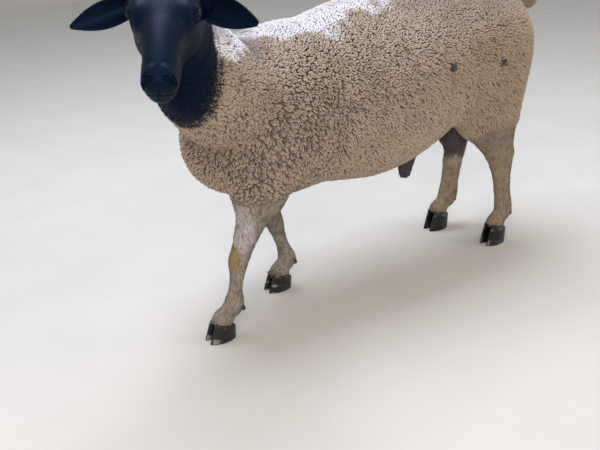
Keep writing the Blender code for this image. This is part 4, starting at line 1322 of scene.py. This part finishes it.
def woolly(points, normals):
    return (coat(points) > 0.12).astype(float) * (behind_black(points) > 0.002)


def looseness(points):
    """1 on the chest and low on the shoulder, where the staples stand apart, 0 where the wool is like felt."""
    return (1 - smooth_step(-0.28, 0.0, points[:, 0])) * (1 - 0.7 * smooth_step(0.46, 0.57, points[:, 2]))


staples, _, _ = roots(STAPLE_SPACING, woolly, draw, 4)
places, normals, uvs = roots(LOCK_SPACING, woolly, draw)
tree = tree_of(staples)
nearest = [tree.find(place) for place in places]
owner = np.array([item[1] for item in nearest])
apart = np.array([item[2] for item in nearest])
staple_loose = 0.3 + 0.7 * looseness(staples)
staple_turn = draw.normal(0, 0.45, len(staples)) * staple_loose
staple_height = draw.uniform(0.92, 1.0, len(staples))
staple_lean = draw.normal(0, 0.14, len(staples)) * staple_loose
staple_tone = draw.random(len(staples))
print("staples:", len(staples), "locks:", len(places))

# %% Fleece meshes
full = coat(places)
count = len(places)
lies = lie_of(places, normals, staple_turn[owner] + draw.normal(0, 0.15, count))
pull = staples[owner] - places
pull -= normals * (pull * normals).sum(1)[:, None]
loose = looseness(places)
pull *= (0.12 + 0.36 * loose)[:, None]
edge = smooth_step(0.2, 1.0, apart / STAPLE_SPACING)
height = COAT_DEPTH * full * staple_height[owner] * (1 - (0.03 + 0.29 * loose) * edge) + 0.0016
start = np.clip(0.15 + draw.normal(0, 0.10, count), -0.1, 0.5)
end = 1.32 - 0.34 * loose + staple_lean[owner] + draw.normal(0, 0.10, count) + 0.45 * (1 - full)
end = np.clip(end - 0.50 * smooth_step(0.2, 0.7, normals[:, 2]), 0.5, 1.60)
length = height * (end - start) / (np.sin(end) - np.sin(start))
width = 0.0021 + 0.0007 * draw.random(count) - 0.0003 * loose + 0.0007 * smooth_step(0.0, 0.5, normals[:, 2])
width *= 0.80 + 0.20 * full
shape = (length, width, draw.uniform(0.72, 0.95, count), start, end, draw.normal(0, 0.10, count))
marks = markings(places)
marks["tone"] = np.clip(0.55 * staple_tone[owner] + 0.45 * draw.random(count), 0, 1)
near_black = 0.6 * (1 - smooth_step(0.002, 0.024, behind_black(places))) * (1 - 0.9 * marks["white"])
marks["black"] = np.where(draw.random(count) < near_black, draw.uniform(0.72, 0.95, count), marks["black"])
WOOL_LOCK = ringed_tube(4, [(-0.12, 0.80), (0.89, 1.0)], 1.0)
REGIONS = {"neck": (-9, -0.29), "shoulder": (-0.29, -0.10), "flank": (-0.10, 0.10), "loin": (0.10, 0.28),
           "rump": (0.28, 9)}
coat_pieces = []
for region, (low, high) in REGIONS.items():
    for name, side in SIDES.items():
        here = (places[:, 0] >= low) & (places[:, 0] < high) & (places[:, 1] * side <= 0)
        piece = grow(
            f"fleece_{region}_{name}", WOOL_LOCK, places[here], normals[here], lies[here], uvs[here],
            [part[here] for part in shape], {k: v[here] for k, v in marks.items()}, pull[here],
        )
        coat_pieces.append((piece, "fleece"))

# %% [markdown]
# ## Short hair
#
# Head, neck and legs carry short straight hair that lies flat. Most of it is bump in
# the skin's material. Small tufts break the outline on every side, shortest on the
# face and feet. Longer ragged tufts, brown-black, lie over the edge of the fleece
# behind the ears and down the neck, and pale ones hang over the hooves.

# %% Short tufts
HAIR_LOCK = ringed_tube(3, [(-0.10, 0.8), (0.45, 1.0)], 1.0)


def hair(name, spacing, wanted, length, width, start, end, slot, scatter=0.22, tone=None, black=None):
    """A piece of hair tufts: each size is a pair, from and to."""
    places, normals, uvs = roots(spacing, wanted, draw)
    count = len(places)
    lies = lie_of(places, normals, draw.normal(0, scatter, count))
    face = on_face(places)
    small = 1 - 0.55 * face
    shape = (
        draw.uniform(*length, count) * small, draw.uniform(*width, count) * small, np.full(count, 0.5),
        draw.uniform(*start, count), draw.uniform(*end, count), draw.normal(0, 0.10, count),
    )
    marks = markings(places)
    marks["tone"] = draw.random(count) if tone is None else draw.uniform(*tone, count)
    if black is not None:
        marks["black"] = draw.uniform(*black, count)
        marks["white"] = marks["white"] * 0
    piece = grow(name, HAIR_LOCK, places, normals, lies, uvs, shape, marks)
    coat_pieces.append((piece, slot))


def face_black(points, normals):
    return (behind_black(points) < 0.004) * (on_face(points) > 0.5)


def neck_black(points, normals):
    return (behind_black(points) < -0.006) * (on_face(points) <= 0.5)


def short_pale(points, normals):
    return ((coat(points) < 0.30) & (behind_black(points) > 0.06)) * 1.0


def edge_of_black(points, normals):
    """A band over the line where black hair ends, densest just behind it."""
    away = behind_black(points) + 0.008 * wobble(points, 0.02, 5)
    return np.where(away > -0.020, 1 - smooth_step(-0.006, 0.016, away), 0)


def dark_tufts(points, normals):
    """The dark patch between the hind legs, and the tassel of the sheath."""
    return markings(points)["dark"] * (points[:, 2] < 0.36)


def hairline(points, normals):
    """Just above the hooves."""
    near = np.zeros(len(points))
    for leg, side in each_leg(FORE, HIND):
        away, top = hoof_top(points, leg, side)
        above = points[:, 2] - top
        near = np.maximum(near, (away < 0.05) & (above > 0.0015) & (above < 0.010))
    return near


hair("hair_face", 0.0032, face_black, (0.012, 0.016), (0.0005, 0.0007), (1.46, 1.53), (1.54, 1.62), "black_hair")
hair("hair_neck", 0.0026, neck_black, (0.010, 0.016), (0.0004, 0.0007), (1.36, 1.46), (1.48, 1.60), "black_hair")
hair("hair_legs", 0.0030, short_pale, (0.007, 0.010), (0.0005, 0.0008), (1.36, 1.46), (1.50, 1.60), "cream_hair")
hair("hair_edge", 0.0028, edge_of_black, (0.005, 0.015), (0.0006, 0.0013), (0.80, 1.30), (1.25, 1.58), "black_hair",
     0.85, (0.0, 0.6), (0.78, 1.0))
hair("hair_dark", 0.0030, dark_tufts, (0.007, 0.014), (0.0006, 0.0010), (1.20, 1.42), (1.45, 1.60), "bare_skin", 0.30)
hair("hair_hoofline", 0.0022, hairline, (0.004, 0.006), (0.0004, 0.0007), (1.35, 1.48), (1.52, 1.60), "cream_hair")

# %% [markdown]
# ## Materials
#
# Wool is matt and scatters light at its surface, so it is rough with a faint sheen.
# Black hair is straight and oiled: it keeps a soft gloss along the nose, whose blue
# is a painted reflection of cool light. All of them take their colour from the same
# chain of nodes, which reads the markings and mixes the breed's own colours, with
# noise for dust and wear, and with painted light and shade: shade towards the roots
# of the locks and on the far hind leg, light on the top of the back, a blue cast on
# the black, and a lighter tone on black tufts in place of the skin's gloss.

# %% The coat's colour
WOOL_LIGHT, WOOL_DARK, WOOL_DUST, WOOL_FLECK = "#b3a08d", "#93806d", "#776552", "#5a4b3c"
# The cool white is partly whiter wool and partly painted light on the top of the back.
WOOL_WHITE_AND_TOPLIGHT, STAIN, DARK_PATCH_AND_SHADE = "#e2dfe5", "#9b845c", "#65575c"
# The black hair is given a navy tint: a painted cast of cool light on a black coat.
LEG_HAIR, LEG_GREY, BLUE_LIT_BLACK_HAIR, BROWN_BLACK = "#988b7e", "#81766c", "#050f20", "#181214"


def attribute(tree, name):
    return node(tree, "ShaderNodeAttribute", attribute_name=name).outputs["Fac"]


def mixed(tree, share, first, second, mode="MIX"):
    """Two colours mixed by a share. Each colour is a hex value or a socket."""
    made = node(tree, "ShaderNodeMix", data_type="RGBA", blend_type=mode, clamp_factor=True)
    for socket, value in ((0, share), (6, first), (7, second)):
        if isinstance(value, (int, float)):
            made.inputs[socket].default_value = value
        elif isinstance(value, str):
            made.inputs[socket].default_value = linear(value)
        else:
            tree.links.new(value, made.inputs[socket])
    return made.outputs[2]


def ramp(tree, source, low, high):
    """0 below low, 1 above high, even between."""
    made = node(tree, "ShaderNodeMapRange", {"Value": source}, From_Min=low, From_Max=high)
    return made.outputs["Result"]


def noise_at(tree, size, detail=3.0, stretch=(1, 1, 1), turn=(0, 0, 0)):
    """Noise with lumps of a real size in metres, drawn out along turned axes where the stretch is over 1."""
    place = node(tree, "ShaderNodeTexCoord").outputs["Object"]
    mapping = node(tree, "ShaderNodeMapping", {"Vector": place}, vector_type="TEXTURE", Scale=stretch, Rotation=turn)
    texture = node(tree, "ShaderNodeTexNoise", {"Vector": mapping.outputs["Vector"]}, Scale=1 / size, Detail=detail)
    return texture.outputs["Fac"]


def coat_colour(tree):
    wool = mixed(tree, ramp(tree, noise_at(tree, 0.045), 0.35, 0.65), WOOL_DARK, WOOL_LIGHT)
    wool = mixed(tree, ramp(tree, attribute(tree, "tone"), 0.0, 1.0), wool, WOOL_LIGHT)
    dusty = ramp(tree, noise_at(tree, 0.016, 4.0), 0.60, 0.72)
    wool = mixed(tree, dusty, wool, WOOL_DUST)
    flecks = ramp(tree, noise_at(tree, 0.0055, 2.0, (1, 1, 1.8)), 0.66, 0.74)
    wool = mixed(tree, flecks, wool, WOOL_FLECK)
    legs = mixed(tree, ramp(tree, noise_at(tree, 0.014, 4.0), 0.45, 0.68), LEG_HAIR, LEG_GREY)
    colour = mixed(tree, attribute(tree, "pale"), wool, legs)
    # Whiter wool with painted overhead light on the top, and pale patches on the legs.
    colour = mixed(tree, attribute(tree, "white"), colour, WOOL_WHITE_AND_TOPLIGHT)
    colour = mixed(tree, attribute(tree, "stain"), colour, STAIN)
    # Dark skin, hair and dirt, and painted shade on the inside of the far hind leg.
    colour = mixed(tree, attribute(tree, "dark"), colour, DARK_PATCH_AND_SHADE)
    # Black hair, its blue a painted cast of cool light, going brown-black at the edge and in clots.
    black = mixed(tree, ramp(tree, attribute(tree, "black"), 0.80, 0.99), BROWN_BLACK, BLUE_LIT_BLACK_HAIR)
    return mixed(tree, attribute(tree, "black"), colour, black)


def colour_by(tree, shader, colour, painted_root_shade=None):
    """Sets the base colour, darker towards the roots: painted shade where little light falls between the locks and on
    the skin under them.
    """
    if painted_root_shade:
        darker = mixed(tree, 1.0, colour, painted_root_shade, "MULTIPLY")
        colour = mixed(tree, attribute(tree, "shade"), colour, darker)
    tree.links.new(colour, shader.inputs["Base Color"])


def relief_by(tree, shader, height, strength, distance):
    """Bump from a height socket."""
    relief = node(tree, "ShaderNodeBump", {"Height": height}, Strength=strength, Distance=distance)
    tree.links.new(relief.outputs["Normal"], shader.inputs["Normal"])


# %% Wool
wool, tree, shader = new_material("dorper_wool")
colour_by(tree, shader, coat_colour(tree), "#c9b39b")
set_sockets(shader, Roughness=0.95, Specular_IOR_Level=0.2, Sheen_Weight=0.25, Sheen_Roughness=0.6)
relief_by(tree, shader, noise_at(tree, 0.0013, 2.0, (1, 1, 5)), 0.8, 0.0007)

# %% Hair
hair_finish, tree, shader = new_material("straight_hair")
# Painted sheen: black tufts are lightened towards a blue-grey, in place of the gloss that the smooth skin reflects.
painted_sheen_share = node(tree, "ShaderNodeMath", {0: attribute(tree, "black")}, operation="MULTIPLY")
painted_sheen_share.inputs[1].default_value = 0.45
painted_sheen_colour = mixed(tree, painted_sheen_share.outputs[0], coat_colour(tree), "#1d2b3f")
colour_by(tree, shader, painted_sheen_colour, "#b8b0a8")
# The blue specular tint paints the colour of a cool light into the reflections.
set_sockets(shader, Roughness=0.55, Specular_IOR_Level=0.20, Specular_Tint=linear("#8fb4e8"))

# %% Skin with its short hair
skin_finish, tree, shader = new_material("haired_skin")
colour_by(tree, shader, coat_colour(tree), "#b89f86")
PALE_ROUGHNESS, BLACK_ROUGHNESS = 0.82, 0.50
gloss = node(
    tree, "ShaderNodeMapRange", {"Value": attribute(tree, "black")}, To_Min=PALE_ROUGHNESS, To_Max=BLACK_ROUGHNESS
)
tree.links.new(gloss.outputs["Result"], shader.inputs["Roughness"])
# The blue specular tint paints the colour of a cool light into the reflections.
set_sockets(shader, Specular_IOR_Level=0.19, Specular_Tint=linear("#7aa8ec"))
HEAD_TURN = HEAD.to_3x3().to_euler()
streaks_body = noise_at(tree, 0.0016, 2.0, (1, 1, 6))
streaks_face = noise_at(tree, 0.0012, 2.0, (8, 1, 1), HEAD_TURN)
both = node(tree, "ShaderNodeMix", {2: streaks_body, 3: streaks_face, 0: attribute(tree, "face")}, data_type="FLOAT")
relief_by(tree, shader, both.outputs[0], 0.50, 0.0004)

# %% Horn
horn, tree, shader = new_material("hoof_horn")
grown = noise_at(tree, 0.004, 3.0, (2.5, 2.5, 0.4))
colour_by(tree, shader, mixed(tree, ramp(tree, grown, 0.35, 0.7), "#050506", "#100f0f"))
set_sockets(shader, Roughness=0.30, IOR=1.55)
relief_by(tree, shader, grown, 0.35, 0.0008)

# %% Eye
IRIS_HALF, PUPIL = 0.36, (0.25, 0.085)
eye_finish, tree, shader = new_material("ram_eye")
gaze_map = node(tree, "ShaderNodeUVMap", uv_map="gaze").outputs["UV"]
centred = node(tree, "ShaderNodeVectorMath", {0: gaze_map}, operation="SUBTRACT")
centred.inputs[1].default_value = (0.5, 0.5, 0)
away = node(tree, "ShaderNodeVectorMath", {0: centred.outputs[0]}, operation="LENGTH").outputs["Value"]
slot = node(tree, "ShaderNodeVectorMath", {0: centred.outputs[0]}, operation="DIVIDE")
slot.inputs[1].default_value = (PUPIL[0] / 2, PUPIL[1] / 2, 1)
slot_away = node(tree, "ShaderNodeVectorMath", {0: slot.outputs[0]}, operation="LENGTH").outputs["Value"]
rays = node(tree, "ShaderNodeTexNoise", {"Vector": gaze_map}, Scale=26.0, Detail=4.0).outputs["Fac"]
iris = mixed(tree, ramp(tree, rays, 0.35, 0.65), "#0f0a07", "#1c130b")
iris = mixed(tree, ramp(tree, slot_away, 1.06, 0.94), iris, "#030303")
iris = mixed(tree, ramp(tree, away, IRIS_HALF / 2 - 0.012, IRIS_HALF / 2 + 0.008), iris, "#0a0706")
colour_by(tree, shader, iris)
set_sockets(shader, Roughness=0.35, Specular_IOR_Level=0.2, Coat_Weight=0.4, Coat_IOR=1.34, Coat_Roughness=0.03)

# %% [markdown]
# ## Putting it together
#
# Every piece is moved over the frame's origin, gets its material and rides on the one
# body of the part. The skin, hooves and eyes hide the solids they stand for.

# %% Finish each piece
FLESH = ["head", "neck", "torso", "ear_left", "ear_right", "tail", "scrotum", "sheath"]
FLESH += [f"{leg}_{name}" for leg in ("foreleg", "hindleg") for name in ("left", "right")]


def finish_piece(piece, finish, stands_for=()):
    piece.data.transform(Matrix.Translation(SHIFT))
    piece.data.materials.clear()
    piece.data.materials.append(finish)
    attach(piece, "root")
    if stands_for:
        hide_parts(*stands_for)


finish_piece(skin, skin_finish, FLESH)
for piece, slot in coat_pieces:
    finish_piece(piece, wool if slot == "fleece" else hair_finish)
for replaced, piece in horn_pieces.items():
    finish_piece(piece, horn, [replaced])
for name, piece in eyes.items():
    finish_piece(piece, eye_finish, [f"eye_{name}"])
